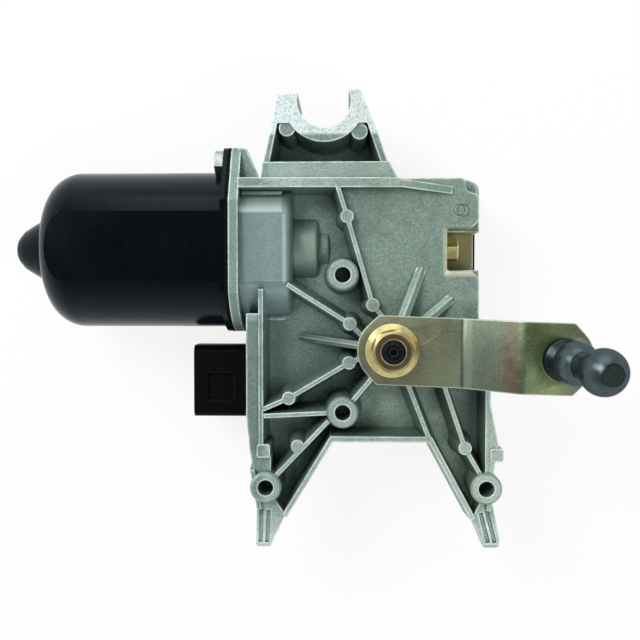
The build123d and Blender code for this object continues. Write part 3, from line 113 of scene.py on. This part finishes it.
bench_half_width = 1.6
bench_gap = 0.2 * MM
bench_top = cad_low.z - bench_gap
bench_corners = [
    (x * bench_half_width, y * bench_half_width, bench_top) for x, y in ((-1, -1), (1, -1), (1, 1), (-1, 1))
]
bench_mesh = bpy.data.meshes.new("bench")
bench_mesh.from_pydata(bench_corners, [], [(0, 1, 2, 3)])
bench = bpy.data.objects.new("bench", bench_mesh)
scene.collection.objects.link(bench)

paper, step = new_finish("bench_paper")
step.coat({"Base Color": (0.94, 0.94, 0.94, 1), "Roughness": 0.9})
rays = step.node("ShaderNodeLightPath")
seen = step.combine("MAXIMUM", rays.outputs["Is Camera Ray"], rays.outputs["Is Glossy Ray"])
paper_skin = step.tree.nodes["Principled BSDF"].outputs[0]
paper_glow = step.node("ShaderNodeEmission", Color=(1, 1, 1, 1), Strength=1.0).outputs[0]
lit_paper = step.node("ShaderNodeMixShader", i0=step.times(seen, 0.86), i1=paper_skin, i2=paper_glow)
step.feed(step.tree.nodes["Material Output"].inputs[0], lit_paper.outputs[0])
bench_mesh.materials.append(paper)

room = bpy.data.worlds.new("room")
scene.world = room
room.use_nodes = True
step = Recipe(room.node_tree)
rays = step.node("ShaderNodeLightPath")
heading = step.node("ShaderNodeSeparateXYZ", Vector=step.node("ShaderNodeTexCoord").outputs["Generated"])
pale_walls = step.ramp(heading.outputs[2], 0.15, 0.80, 0.95, 0.08)
outlook = room.node_tree.nodes["Background"]
step.feed(outlook.inputs[0], step.blend(rays.outputs["Is Camera Ray"], pale_walls, (1, 1, 1)))
outlook.inputs[1].default_value = 1.0

for name, spot, aim, width, watts in (
    ("soft_box_key", (-0.62, 0.53, 0.98), (0, 0.01, -0.02), 0.55, 8.5),
    ("soft_box_fill", (0.45, -0.45, 1.1), (0, 0, -0.02), 0.8, 5.5),
    ("soft_box_side", (-0.85, 0.58, 0.50), (0, 0, 0), 0.35, 1.5),
    ("soft_box_top", (0.0, 1.1, 0.55), (0, 0.02, -0.02), 0.9, 3.6),
):
    lamp = bpy.data.lights.new(name, "AREA")
    lamp.size = width
    lamp.energy = watts
    soft_box = bpy.data.objects.new(name, lamp)
    soft_box.location = spot
    soft_box.rotation_euler = (Vector(aim) - Vector(spot)).to_track_quat("-Z", "Y").to_euler()
    scene.collection.objects.link(soft_box)

# The view's width, its focal length and how far it is turned aside are all in pixels.
view_width = 640
focal_length = 836
view_shift = (25, 24)
camera_spot = Vector((-15.7, 18.15, 290)) * MM
lens = bpy.data.cameras.new("camera")
lens.sensor_width = 36
lens.lens = lens.sensor_width * focal_length / view_width
lens.clip_start = 10 * MM
camera = bpy.data.objects.new("camera", lens)
scene.collection.objects.link(camera)
ahead = Vector((-view_shift[0], -view_shift[1], -focal_length)).normalized()
aside = ahead.cross(Vector((0, 1, 0))).normalized()
turn = Matrix((aside, aside.cross(ahead), -ahead)).transposed().to_4x4()
camera.matrix_world = Matrix.Translation(camera_spot) @ turn
scene.camera = camera


# ---------------------------------------------------------------- gear housing
# Ribbed body of the gear: aluminium, pressure die-cast, then milled on its bosses and saddle.
# Everything else screws to it or runs in it. The bead on its neck and the fillet at the neck's
# foot are cast with it, and are meshes of their own here.

class SurfaceRecipe(Recipe):
    """Steps for the skin of a piece, with sizes and places in mm on that piece."""

    def place(self):
        """Where a point lies on the piece."""
        return self.node("ShaderNodeTexCoord").outputs["Object"]

    def grain(self, size, detail=3.0, rough=0.55, stretch=(1, 1, 1)):
        """Cloudy variation from 0 to 1 with lumps of about the given size."""
        spot = self.node("ShaderNodeMapping", i0=self.place(), i3=stretch).outputs[0]
        lumps = {"Scale": 0.5 / (size * MM), "Detail": detail, "Roughness": rough}
        return self.node("ShaderNodeTexNoise", Vector=spot, **lumps).outputs[0]

    def along(self, axis):
        """Distance in metres along the piece's own x, y or z."""
        return self.node("ShaderNodeSeparateXYZ", Vector=self.place()).outputs["XYZ".index(axis)]

    def rise(self, axis, low, high, start=0.0, end=1.0):
        """From start to end between two places along an axis."""
        return self.ramp(self.along(axis), low * MM, high * MM, start, end)

    def within(self, axis, low, high, fade):
        """1 between two places along an axis, fading to 0 outside them."""
        return self.times(self.rise(axis, low - fade, low), self.rise(axis, high, high + fade, 1.0, 0.0))

    def zone(self, x, y, z):
        """1 inside a box given by its low and high sides, fading to 0 around it."""
        fade = 1.0
        return self.times(self.within("X", *x, fade), self.within("Y", *y, fade), self.within("Z", *z, fade))

    def near(self, centre, reach):
        """1 at a place, fading to 0 at the given distance."""
        spot = tuple(c * MM for c in centre)
        gap = self.node("ShaderNodeVectorMath", {"operation": "DISTANCE"}, i0=self.place(), i1=spot)
        return self.ramp(gap.outputs["Value"], 0.0, reach * MM, 1.0, 0.0)

    def facing_up(self, low=0.9, high=0.99):
        """1 where a face looks along +Z."""
        turned = self.node("ShaderNodeSeparateXYZ", Vector=self.node("ShaderNodeTexCoord").outputs["Normal"])
        return self.ramp(turned.outputs[2], low, high)

    def crevice(self, reach):
        """1 in the open, less in corners and pockets."""
        return self.node("ShaderNodeAmbientOcclusion", {"samples": 8}, Distance=reach * MM).outputs["AO"]

    def outer_edges(self, reach):
        """1 on the edges that stand out of a piece, 0 on its open faces and in its hollows."""
        inside = {"samples": 12, "inside": True, "only_local": True}
        depth = self.node("ShaderNodeAmbientOcclusion", inside, Distance=reach * MM).outputs["AO"]
        return self.ramp(depth, 0.95, 0.62)

    def soft_normal(self, reach):
        """The normal that the piece would have with its edges rounded."""
        return self.node("ShaderNodeBevel", {"samples": 6}, Radius=reach * MM).outputs[0]

    def bump(self, height, depth, normal=None):
        """Relief of the given depth, on the piece's own normal or on another."""
        step = self.node("ShaderNodeBump", Height=height, Distance=depth * MM, Strength=1.0)
        if normal:
            self.feed(step.inputs["Normal"], normal)
        return step.outputs[0]

    def plus(self, result, *others):
        """The total of steps and values."""
        for other in others:
            result = self.combine("ADD", result, other)
        return result

    def scale_of(self, value, colours):
        """Colour scale: colours is a list of (stop, colour)."""
        step = self.node("ShaderNodeValToRGB", Fac=value)
        band = step.color_ramp
        while len(band.elements) < len(colours):
            band.elements.new(0.5)
        for element, (stop, colour) in zip(band.elements, colours):
            element.position = stop
            element.color = (*colour, 1)
        return step.outputs[0]


def new_surface(name):
    """A fresh material for a piece, and the recipe of its skin."""
    return new_finish(name, SurfaceRecipe)


def soften(name, degrees):
    """Node group that shades smooth across bends and keeps sharper edges crisp."""
    group = bpy.data.node_groups.new(name, "GeometryNodeTree")
    group.interface.new_socket("Geometry", in_out="INPUT", socket_type="NodeSocketGeometry")
    group.interface.new_socket("Geometry", in_out="OUTPUT", socket_type="NodeSocketGeometry")
    nodes, links = group.nodes, group.links
    start, end = nodes.new("NodeGroupInput"), nodes.new("NodeGroupOutput")
    faces, edges = nodes.new("GeometryNodeSetShadeSmooth"), nodes.new("GeometryNodeSetShadeSmooth")
    edges.domain = "EDGE"
    edges.inputs["Shade Smooth"].default_value = False
    angle, sharp = nodes.new("GeometryNodeInputMeshEdgeAngle"), nodes.new("FunctionNodeCompare")
    sharp.operation = "GREATER_THAN"
    sharp.inputs[1].default_value = math.radians(degrees)
    links.new(start.outputs[0], faces.inputs[0])
    links.new(faces.outputs[0], edges.inputs[0])
    links.new(angle.outputs[0], sharp.inputs[0])
    links.new(sharp.outputs[0], edges.inputs["Selection"])
    links.new(edges.outputs[0], end.inputs[0])
    return group


cast_bends = soften("smooth_bends", 24)


def shade_bends(piece, bends):
    piece.modifiers.new("smooth_bends", "NODES").node_group = bends


def dress(node, finish, broken_edge=0.0, bends=cast_bends):
    """Gives a piece its finish, breaks its edges by that many mm and shades its bends."""
    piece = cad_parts[node]
    piece.data.materials.clear()
    piece.data.materials.append(finish)
    weld = piece.modifiers.new("weld", "WELD")
    weld.merge_threshold = 0.001 * MM
    if broken_edge:
        flats = piece.modifiers.new("flats", "DECIMATE")
        flats.decimate_type = "DISSOLVE"
        flats.angle_limit = math.radians(0.5)
        broken = piece.modifiers.new("broken_edges", "BEVEL")
        broken.width = broken_edge * MM
        broken.segments = 2
        broken.limit_method = "ANGLE"
        broken.angle_limit = math.radians(35)
    shade_bends(piece, bends)


casting, step = new_surface("die_cast_aluminium")
clouds = step.grain(9, 4.0)
patches = step.grain(1.6, 5.0, 0.7)
fine = step.grain(0.32, 2.0, 0.7)

# How light the skin is: painted shade on its deep floors, painted light on the rib tops and the saddle's
# face, lighter at the legs' tips, in clouds and patches.
plain_skin = 0.235
painted_height_shade = step.rise("Z", -18, 2, 0.0, 0.10)
painted_light_on_rib_tops = step.times(step.rise("Z", -4.5, -1.8), step.facing_up(), step.rise("X", -46, -43, -0.6, 1.0))
leg_tips = step.rise("Y", -66, -56, 0.16, 0.0)
painted_light_on_saddle_face = step.times(step.within("Y", 77, 99, 2), step.facing_up(), step.rise("Z", -8.5, -8.1))
lightness = step.plus(
    painted_height_shade, step.times(clouds, 0.32), step.times(patches, 0.18), plain_skin, leg_tips,
    step.times(painted_light_on_rib_tops, 0.12), step.times(painted_light_on_saddle_face, 0.72),
)
# Spots of painted light and painted shade on the floors, plates, neck and saddle's pocket: centre, reach and
# lift.
painted_light_and_shade_spots = {
    "painted shade on the floor left of the hub": ((-24, -8, -18), 30, -0.16),
    "floor below the hub": ((0, -22, -17), 15, 0.20),
    "plate right of the hub": ((24, 17, -5.5), 14, 0.14),
    "pocket of the saddle": ((-22, 68, -35), 24, 0.22),
    "plate beside the long rib": ((-10, 48, -5.5), 15, -0.12),
    "lower round of the neck": ((-38, 16, -12), 9, 0.18),
    "bearing seat": ((-30, 35, -12), 10, 0.10),
    "floor beside the long rib": ((-16, 39, -16), 10, -0.30),
    "floor at the long rib's inner end": ((-11, 27, -16), 9, -0.30),
    "floor at the long rib's outer end": ((-20, 50, -16), 9, -0.20),
    "floor between hub and lower boss": ((-10, -10, -17), 9, -0.30),
    "left leg's tip": ((-45, -70, -4), 9, 0.12),
    "floor beside the right leg's rib": ((18, -26, -17), 9, 0.24),
}
for centre, reach, lift in painted_light_and_shade_spots.values():
    lightness = step.plus(lightness, step.times(step.near(centre, reach), lift))
tone = step.scale_of(lightness, [
    (0.12, (0.075, 0.110, 0.094)), (0.36, (0.160, 0.230, 0.192)),
    (0.60, (0.275, 0.378, 0.316)), (0.98, (0.77, 0.86, 0.79)),
])

# Cast skin: bluish towards the neck, speckled, with painted shade in its corners, and greasy round the
# thrust screw.
tone = step.blend(step.rise("X", -48, 0, 0.6, 0.0), tone, (0.93, 0.97, 1.16), "MULTIPLY")
tone = step.blend(step.ramp(fine, 0.42, 0.75, 0.0, 0.65), tone, (0.085, 0.120, 0.105))
tone = step.blend(step.ramp(fine, 0.42, 0.24, 0.0, 0.45), tone, (0.50, 0.60, 0.55))
# Painted shade in corners and pockets, wide and then narrow at the feet of the ribs.
tone = step.blend(step.ramp(step.crevice(4), 0.50, 0.10, 0.0, 0.36), tone, (0.030, 0.042, 0.042))
tone = step.blend(step.ramp(step.crevice(1.3), 0.80, 0.50, 0.0, 0.50), tone, (0.040, 0.058, 0.054))
grease = step.times(step.near((27, 36.5, -28), 17), 1.5)
tone = step.blend(step.combine("MINIMUM", grease, 0.85), tone, (0.36, 0.34, 0.15))
neck_face = step.times(step.within("Y", 24, 47.5, 0.6), step.within("X", -52.5, -36, 1.5), step.facing_up())
tone = step.blend(step.times(neck_face, 0.62), tone, (0.185, 0.270, 0.268))

# Places painted lighter or darker: the notch's three rims are worn pale, the rest is painted light and shade
# on the neck, the bearing seat, the left wall, the saddle's foot, the legs and the floor by the right wall:
# sides of each box, share and colour.
painted_light_shade_and_wear_places = {
    "upper slope of the neck": ((-52.5, -38.5), (48.2, 52.6), (-7.5, -2), 0.60, (0.58, 0.68, 0.62)),
    "lower round of the neck": ((-43.5, -36), (11, 22.5), (-15, -2), 0.40, (0.33, 0.44, 0.46)),
    "bearing seat": ((-33.5, -26), (26, 45), (-16, -4), 0.40, (0.32, 0.44, 0.36)),
    "left wall": ((-54, -44.4), (-36, 11), (-6, 0), 0.35, (0.115, 0.170, 0.170)),
    "notch's inner rim": ((19.5, 20.6), (26, 41.5), (-7, -5), 0.60, (0.74, 0.72, 0.50)),
    "notch's lower rim": ((20.0, 31), (25.6, 26.6), (-7, -5), 0.60, (0.76, 0.76, 0.56)),
    "notch's upper rim": ((20.5, 30), (41.2, 42.0), (-7, -5), 0.40, (0.66, 0.66, 0.46)),
    "neck's round by the ribs": ((-46, -36.5), (12.5, 22), (-16, -5), 0.55, (0.45, 0.59, 0.62)),
    "neck's round by the flange": ((-52.5, -47), (10, 22), (-26, -3), 0.45, (0.42, 0.55, 0.58)),
    "corner of the neck's face": ((-37.1, -37.0), (23, 46.5), (-9, -1), 0.50, (0.60, 0.72, 0.70)),
    "foot of the saddle": ((-42, 6), (59.5, 64), (-12, 0), 0.25, (0.50, 0.62, 0.58)),
    "left leg's tip": ((-50, -38), (-74, -60), (-12, 2), 0.20, (0.55, 0.68, 0.65)),
    "right leg's tip": ((28, 40), (-74, -60), (-12, 2), 0.25, (0.25, 0.33, 0.33)),
    "left leg's pocket": ((-48, -34), (-50, -28), (-45, -12), 0.35, (0.050, 0.078, 0.074)),
    "floor by the right wall": ((24, 31), (-34, -14), (-40, -10), 0.35, (0.060, 0.085, 0.078)),
}
for x, y, z, share, colour in painted_light_shade_and_wear_places.values():
    tone = step.blend(step.times(step.zone(x, y, z), share), tone, colour)

# The ejector pin's mark beside the notch is a dark ring, and every other outer edge gets a painted highlight
# in patches.
ejector = step.near((25.7, 48.2, -5.5), 4)
ring = step.times(step.ramp(ejector, 0.36, 0.44), step.ramp(ejector, 0.52, 0.60, 1.0, 0.0))
tone = step.blend(step.times(ring, 0.55), tone, (0.05, 0.075, 0.065))
edges = step.times(step.outer_edges(0.75), step.ramp(ejector, 0.05, 0.20, 1.0, 0.25))
casting_edge_highlight = step.times(edges, step.ramp(step.grain(2.5, 3.0), 0.32, 0.58, 0.32, 0.92))
step.coat({
    "Base Color": step.blend(casting_edge_highlight, tone, (0.78, 0.90, 0.84)),
    "Metallic": 0.6,
    "Roughness": step.ramp(patches, 0.3, 0.7, 0.40, 0.60),
    "Normal": step.bump(step.plus(step.times(fine, 0.6), patches), 0.10, step.soft_normal(0.35)),
})
dress("gear_housing", casting)


def add_piece(name, points, faces, finish, slot):
    """A piece from its corners in mm, fixed to the housing."""
    mesh = bpy.data.meshes.new(name)
    mesh.from_pydata([tuple(c * MM for c in point) for point in points], [], faces)
    mesh.materials.append(finish)
    piece = bpy.data.objects.new(name, mesh)
    scene.collection.objects.link(piece)
    shade_bends(piece, cast_bends)
    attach(piece, "housing")


def band_of_faces(first, second, count):
    """Faces between two rings of that many points, each given by its first point."""
    return [(first + k, first + (k + 1) % count, second + (k + 1) % count, second + k) for k in range(count)]


def swept(outline, places):
    """Points and faces of a closed outline of (a, b) carried through places.

    Each place is (x, y, z, size) and the outline lies across X, in Y and Z.
    """
    count = len(outline)
    last = (len(places) - 1) * count
    points = [(x, y + a * size, z + b * size) for x, y, z, size in places for a, b in outline]
    faces = []
    for first in range(0, last, count):
        faces += band_of_faces(first, first + count, count)
    faces.append(tuple(range(count - 1, -1, -1)))
    faces.append(tuple(range(last, last + count)))
    return points, faces


bead_radius = 1.15
bead_left, bead_right = -52.9, -37.9
bead_y, bead_z = 54.9, -7.7
bead_round = [(math.cos(math.radians(a)), math.sin(math.radians(a))) for a in range(0, 360, 20)]
bead_end = [(0.0, 0.1), (0.15, 0.55), (0.5, 0.85), (1.0, 1.0)]
bead_run = [(bead_left + way, bead_y, bead_z, bead_radius * share) for way, share in bead_end]
bead_run += [(bead_right - way, bead_y, bead_z, bead_radius * share) for way, share in reversed(bead_end)]
add_piece("neck_bead", *swept(bead_round, bead_run), casting, "die_cast_aluminium")

foot_left, foot_right, foot_tip = -44.3, -38.2, -37.6
foot_curve = [(9.3, -16.95), (10.2, -16.8), (10.9, -16.35), (11.5, -15.6), (12.05, -14.75)]
foot_section = [(9.3, -18.5), *foot_curve, (12.8, -15.2), (12.0, -18.5)]
foot_run = [(foot_left, 0, 0, 1), (foot_right, 0, 0, 1), (foot_tip, 0.35, -0.1, 1)]
add_piece("neck_foot", *swept(foot_section, foot_run), casting, "die_cast_aluminium")


# ---------------------------------------------------------------- bushes and washers
# Two sintered bronze bushes pressed into the housing's hub carry the shaft, a third the armature.
# Steel washers take up the end play of the shaft, and a clip holds it.

def specks(step, size):
    """Distance to points scattered that many mm apart, for pits and crystals."""
    return step.node("ShaderNodeTexVoronoi", Vector=step.place(), Scale=1 / (size * MM)).outputs[0]


sintered, step = new_surface("sintered_bronze")
pores = specks(step, 0.5)
step.coat({
    "Base Color": step.blend(step.ramp(pores, 0.0, 0.4), (0.12, 0.07, 0.03), (0.45, 0.29, 0.14)),
    "Metallic": 1.0,
    "Roughness": 0.45,
    "Normal": step.bump(pores, 0.05),
})
for name in ("lower_bush", "upper_bush", "rear_bush"):
    dress(name, sintered)


def two_tone_finish(name, lump, dark, light, roughness, metallic=0.0, relief=0.0, stretch=(1, 1, 1)):
    """A finish in lumps of two tones, with their size and relief in mm.

    Its roughness is one value, or two: for the dark lumps and for the light ones.
    """
    finish, step = new_surface(name)
    lumps = step.grain(lump, 4.0, stretch=stretch)
    if isinstance(roughness, tuple):
        roughness = step.ramp(lumps, 0.3, 0.7, *roughness)
    tone = step.scale_of(lumps, [(0.3, dark), (0.7, light)])
    step.coat({"Base Color": tone, "Metallic": metallic, "Roughness": roughness})
    if relief:
        step.coat({"Normal": step.bump(lumps, relief)})
    return finish, step


ground_steel, step = two_tone_finish(
    "ground_steel", 0.4, (0.30, 0.31, 0.32), (0.52, 0.53, 0.54), (0.22, 0.38), 1.0, 0.02, stretch=(1, 1, 9)
)
for name in ("inner_washer", "outer_washer", "retaining_clip"):
    dress(name, ground_steel)


# ---------------------------------------------------------------- worm wheel and park ring
# The wheel is moulded in natural nylon on its shaft, with eight webs, and turns in a greased pocket.
# A brass ring with a gap is riveted to its back, where three springs feel for the park place.

nylon, step = new_surface("natural_nylon")
step.coat({
    "Base Color": step.scale_of(step.grain(4, 3.0), [(0.3, (0.66, 0.62, 0.50)), (0.7, (0.76, 0.73, 0.62))]),
    "Roughness": 0.42,
    "Subsurface Weight": 0.15,
    "Subsurface Scale": 2 * MM,
    "Normal": step.bump(step.grain(0.3), 0.03),
})
dress("worm_wheel", nylon)

bright_brass, step = two_tone_finish(
    "bright_brass", 0.6, (0.62, 0.44, 0.16), (0.78, 0.60, 0.27), (0.2, 0.35), 1.0, stretch=(1, 6, 1)
)
for name in ("park_ring", "park_contacts"):
    dress(name, bright_brass)


# ---------------------------------------------------------------- output shaft
# Case-hardened steel, ground where it runs in the bushes and rolled with a thread at its tip.
# The whole shaft is phosphated dark.

black_oxide, step = new_surface("black_oxide")
bloom = step.grain(1.0, 4.0, 0.7)
tone = step.scale_of(bloom, [(0.3, (0.0015, 0.0022, 0.0024)), (0.7, (0.0045, 0.0060, 0.0060))])
# The shaft's outer edges are painted paler, as a highlight.
step.coat({
    "Base Color": step.blend(step.times(step.outer_edges(0.4), 0.5), tone, (0.16, 0.17, 0.18)),
    "Specular IOR Level": 0.10,
    "Roughness": step.ramp(bloom, 0.3, 0.7, 0.25, 0.40),
    "Normal": step.bump(bloom, 0.03),
})
dress("output_shaft", black_oxide)


# ---------------------------------------------------------------- armature
# A steel shaft with a rolled worm carries the lamination stack, its copper windings and the
# commutator. It runs in a ball bearing in the housing, and a steel ball takes its thrust.

for name in ("armature_shaft", "lamination_stack", "bearing_outer_ring", "bearing_inner_ring",
             "bearing_retainer", "thrust_ball"):
    dress(name, ground_steel)

copper, step = new_surface("enamelled_copper")
wires = step.node("ShaderNodeTexWave", {"bands_direction": "Y"},
                  Vector=step.place(), Scale=260.0, Distortion=1.5, Detail=1.0).outputs[1]
step.coat({
    "Base Color": step.scale_of(wires, [
        (0.0, (0.10, 0.03, 0.012)), (0.6, (0.42, 0.15, 0.06)), (1.0, (0.55, 0.22, 0.09)),
    ]),
    "Metallic": 0.8,
    "Roughness": 0.3,
    "Normal": step.bump(wires, 0.15),
})
for name in ("windings", "commutator"):
    dress(name, copper)


# ---------------------------------------------------------------- magnets and brush gear
# Two arc magnets of ferrite are held in the can by steel clips. A phenolic card in the mouth
# guides three copper-graphite brushes on brass leaf springs.

ferrite, step = two_tone_finish("ferrite", 0.8, (0.045, 0.045, 0.05), (0.10, 0.10, 0.11), 0.7, relief=0.1)
for name in ("upper_magnet", "lower_magnet"):
    dress(name, ferrite)
dress("magnet_clips", ground_steel)

phenolic, step = two_tone_finish(
    "phenolic_card", 0.7, (0.16, 0.07, 0.03), (0.27, 0.13, 0.06), 0.5, relief=0.05, stretch=(1, 1, 4)
)
dress("brush_card", phenolic)

carbon, step = new_surface("copper_graphite")
grit = specks(step, 0.4)
step.coat({
    "Base Color": step.scale_of(grit, [(0.1, (0.22, 0.10, 0.05)), (0.5, (0.03, 0.03, 0.03))]),
    "Roughness": 0.6,
    "Normal": step.bump(grit, 0.05),
})
dress("brushes", carbon)
dress("brush_springs", bright_brass)


# ---------------------------------------------------------------- motor can, its gasket and screws
# Deep-drawn steel can with flats at its front and back, stove-enamelled gloss black. The cone
# round its nose is a mesh of its own. Two hexagon screws pull its flange on a rubber gasket
# against the housing's mouth.

enamel, step = new_surface("gloss_black_enamel")
peel = step.grain(1.6, 3.0)
step.coat({
    "Base Color": step.scale_of(peel, [(0.3, (0.0010, 0.0018, 0.0020)), (0.7, (0.0020, 0.0032, 0.0036))]),
    "Roughness": step.ramp(step.grain(12), 0.35, 0.65, 0.15, 0.22),
    "Specular IOR Level": 0.13,
    "Specular Tint": (0.72, 0.97, 1.0, 1),
    "Sheen Weight": 0.03,
    "Sheen Roughness": 0.6,
    "Sheen Tint": (0.2, 0.6, 1.0, 1),
    "Normal": step.bump(peel, 0.02),
})
dress("motor_can", enamel, bends=soften("drawn_bends", 15))

can_axis_y, can_axis_z = 35.5, -26.0
cone_inside = 6.0
cone_profile = [
    (-125.7, 13.4), (-126.6, 12.7), (-128.2, 11.9), (-131.8, 10.2), (-135.6, 7.9), (-136.4, 7.4),
    (-136.9, 6.9), (-137.1, 6.2), (-136.0, cone_inside), (-126.0, cone_inside),
]
cone_turns = [math.radians(a) for a in range(0, 360, 6)]
cone_points = [
    (x, can_axis_y + r * math.sin(turn), can_axis_z + r * math.cos(turn))
    for turn in cone_turns for x, r in cone_profile
]
rows = len(cone_profile)
cone_faces = []
for first in range(0, len(cone_points), rows):
    cone_faces += band_of_faces(first, (first + rows) % len(cone_points), rows)
add_piece("nose_skirt", cone_points, cone_faces, enamel, "gloss_black_paint")

rubber, step = two_tone_finish(
    "black_rubber", 0.5, (0.0015, 0.0018, 0.0018), (0.0040, 0.0044, 0.0044), 0.75, relief=0.05
)
step.coat({"Specular IOR Level": 0.08})
dress("can_gasket", rubber)

bright_zinc, step = two_tone_finish(
    "bright_zinc", 0.9, (0.26, 0.29, 0.29), (0.46, 0.50, 0.50), (0.30, 0.46), 1.0, 0.03
)
dress("can_screws", bright_zinc)


# ---------------------------------------------------------------- circuit board
# Glass-fibre laminate under green resist, seated on four posts of the rear cover.
# The park contacts rise from it to the ring on the worm wheel's back.

laminate, step = new_surface("green_laminate")
cloth = step.node("ShaderNodeTexChecker", Vector=step.place(), Scale=2400.0).outputs[1]
step.coat({
    "Base Color": step.blend(step.times(cloth, 0.35), (0.012, 0.075, 0.025), (0.03, 0.14, 0.05)),
    "Roughness": 0.35,
    "Normal": step.bump(step.grain(0.5), 0.02),
})
dress("circuit_board", laminate)


# ---------------------------------------------------------------- connector shroud and rear cover
# Both moulded in black glass-filled nylon. The shroud's neck fills the slot in the housing's wall
# and holds brass blades. Four screws pull the cover on its rubber seal against the housing.

moulded, step = new_surface("black_moulding")
spark = step.grain(0.45, 3.0)
tone = step.scale_of(spark, [(0.3, (0.0009, 0.0015, 0.0017)), (0.7, (0.0022, 0.0032, 0.0036))])
step.coat({
    "Base Color": step.blend(step.times(step.outer_edges(0.5), 0.5), tone, (0.018, 0.022, 0.024)),
    "Roughness": step.ramp(spark, 0.3, 0.7, 0.42, 0.6),
    "Specular IOR Level": 0.06,
    "Normal": step.bump(spark, 0.04, step.soft_normal(0.3)),
})
for name, finish in (
    ("connector_shell", moulded), ("connector_pins", bright_brass),
    ("cover_seal", rubber), ("rear_cover", moulded), ("cover_screws", bright_zinc),
):
    dress(name, finish)


# ---------------------------------------------------------------- crank arm
# Blanked and bent from 3 mm strip, zinc plated and passivated olive.
# The passivate's colour runs in bands along it. Painted shade darkens the crease at the bend, and painted
# highlights lighten the band beside it and the arm's edges.

olive, step = new_surface("olive_zinc")
stain = step.grain(2.0, 5.0, 0.7)
fine = step.grain(0.30, 2.0, 0.7)
drift = step.times(step.ramp(step.grain(6, 3.0, 0.6), 0.3, 0.7, -1.0, 1.0), 2.4 * MM)
way_along = step.ramp(step.plus(step.along("X"), drift), -12 * MM, 66 * MM)
tint = step.scale_of(way_along, [
    (0.00, (0.130, 0.150, 0.092)), (0.20, (0.160, 0.150, 0.088)), (0.42, (0.140, 0.160, 0.094)),
    (0.48, (0.125, 0.175, 0.125)), (0.57, (0.115, 0.145, 0.115)), (0.61, (0.148, 0.110, 0.080)),
    (0.645, (0.132, 0.098, 0.066)), (0.69, (0.065, 0.115, 0.042)), (0.80, (0.190, 0.255, 0.075)),
    (0.90, (0.120, 0.165, 0.105)), (1.00, (0.220, 0.270, 0.140)),
])
for share, colour in (
    (step.ramp(step.grain(9, 3.0), 0.45, 0.62, 0.0, 0.45), (0.115, 0.165, 0.098)),
    (step.ramp(stain, 0.35, 0.7, 0.0, 0.35), (0.26, 0.28, 0.20)),
    (step.ramp(fine, 0.50, 0.75, 0.0, 0.60), (0.045, 0.055, 0.040)),
    (step.ramp(fine, 0.42, 0.24, 0.0, 0.40), (0.36, 0.40, 0.30)),
    # Painted highlight on the bend's round, painted shade in its crease, and painted highlights on the arm's
    # edges.
    (step.times(step.within("X", 24.0, 25.6, 1.1), 0.42), (0.30, 0.38, 0.29)),
    (step.times(step.within("X", 22.9, 23.2, 0.5), 0.60), (0.045, 0.050, 0.035)),
    (step.times(step.outer_edges(0.6), 0.9), (0.72, 0.78, 0.62)),
):
    tint = step.blend(share, tint, colour)
step.coat({
    "Base Color": tint,
    "Metallic": 0.6,
    "Roughness": step.ramp(stain, 0.3, 0.7, 0.36, 0.52),
    "Normal": step.bump(step.grain(0.5), 0.05, step.soft_normal(0.4)),
})
dress("crank_arm", olive, 0.3)


# ---------------------------------------------------------------- crank nut and thrust screw
# Flange nut on the shaft's thread, and the hexagon screw that sets the armature's end play.
# Both are steel, zinc plated and passivated yellow, with the passivate thick and brown on the nut.

def yellow_passivate(name, tones, rim, brown_from=None):
    """Zinc under a yellow passivate: tones from thin to thick, and a paler rim painted on its edges as a
    highlight.

    Faces that look up are brown above the height brown_from, in mm.
    """
    finish, step = new_surface(name)
    drift = step.grain(3, 3.0)
    tint = step.scale_of(drift, list(zip((0.3, 0.5, 0.7), tones)))
    if brown_from is not None:
        thick = step.times(step.rise("Z", brown_from - 0.3, brown_from), step.facing_up(0.75, 0.95), 0.9)
        tint = step.blend(thick, tint, (0.070, 0.032, 0.010))
    step.coat({
        "Base Color": step.blend(step.times(step.outer_edges(0.45), 0.85), tint, rim),
        "Metallic": 0.85,
        "Roughness": step.ramp(drift, 0.3, 0.7, 0.24, 0.38),
        "Normal": step.bump(step.grain(0.4), 0.02),
    })
    return finish


yellow_zinc = yellow_passivate(
    "yellow_zinc", ((0.42, 0.33, 0.11), (0.60, 0.52, 0.21), (0.74, 0.70, 0.36)), (0.98, 0.97, 0.78), 19.6
)
dress("crank_nut", yellow_zinc)

cream_zinc = yellow_passivate(
    "cream_zinc", ((0.62, 0.40, 0.13), (0.92, 0.76, 0.38), (0.98, 0.90, 0.58)), (1.0, 0.97, 0.80)
)
dress("thrust_screw", cream_zinc)


# ---------------------------------------------------------------- double ball stud
# One steel turning with a collar and two balls, riveted through the arm's end.
# It is phosphated dark, with painted shade darkening its collar and its tip, and painted highlights on its
# edges.

phosphate, step = new_surface("dark_phosphate")
soft = step.soft_normal(0.3)
true = step.node("ShaderNodeNewGeometry").outputs["Normal"]
match = step.node("ShaderNodeVectorMath", {"operation": "DOT_PRODUCT"}, i0=soft, i1=true).outputs["Value"]
edges = step.ramp(match, 0.995, 0.80)
bloom = step.grain(1.5, 5.0, 0.7)
stud_tip = (58.27, -3.77, 58.25)
# Painted shade on its tip and its collar, and a painted highlight on its edges.
painted_shade_on_tip = step.ramp(step.near(stud_tip, 3.5), 0.0, 0.10)
tone = step.scale_of(bloom, [(0.3, (0.048, 0.072, 0.078)), (0.7, (0.094, 0.128, 0.136))])
tone = step.blend(step.times(edges, 0.35), tone, (0.35, 0.38, 0.40))
tone = step.blend(step.times(step.within("Z", 20, 31, 1), 0.75), tone, (0.014, 0.020, 0.024))
step.coat({
    "Base Color": step.blend(painted_shade_on_tip, tone, (0.014, 0.021, 0.019)),
    "Metallic": 0.85,
    "Specular Tint": (0.45, 0.47, 0.52, 1),
    "Roughness": step.ramp(bloom, 0.3, 0.7, 0.24, 0.34),
    "Normal": step.bump(step.grain(0.25), 0.03, soft),
})
dress("ball_stud", phosphate, 0.25)
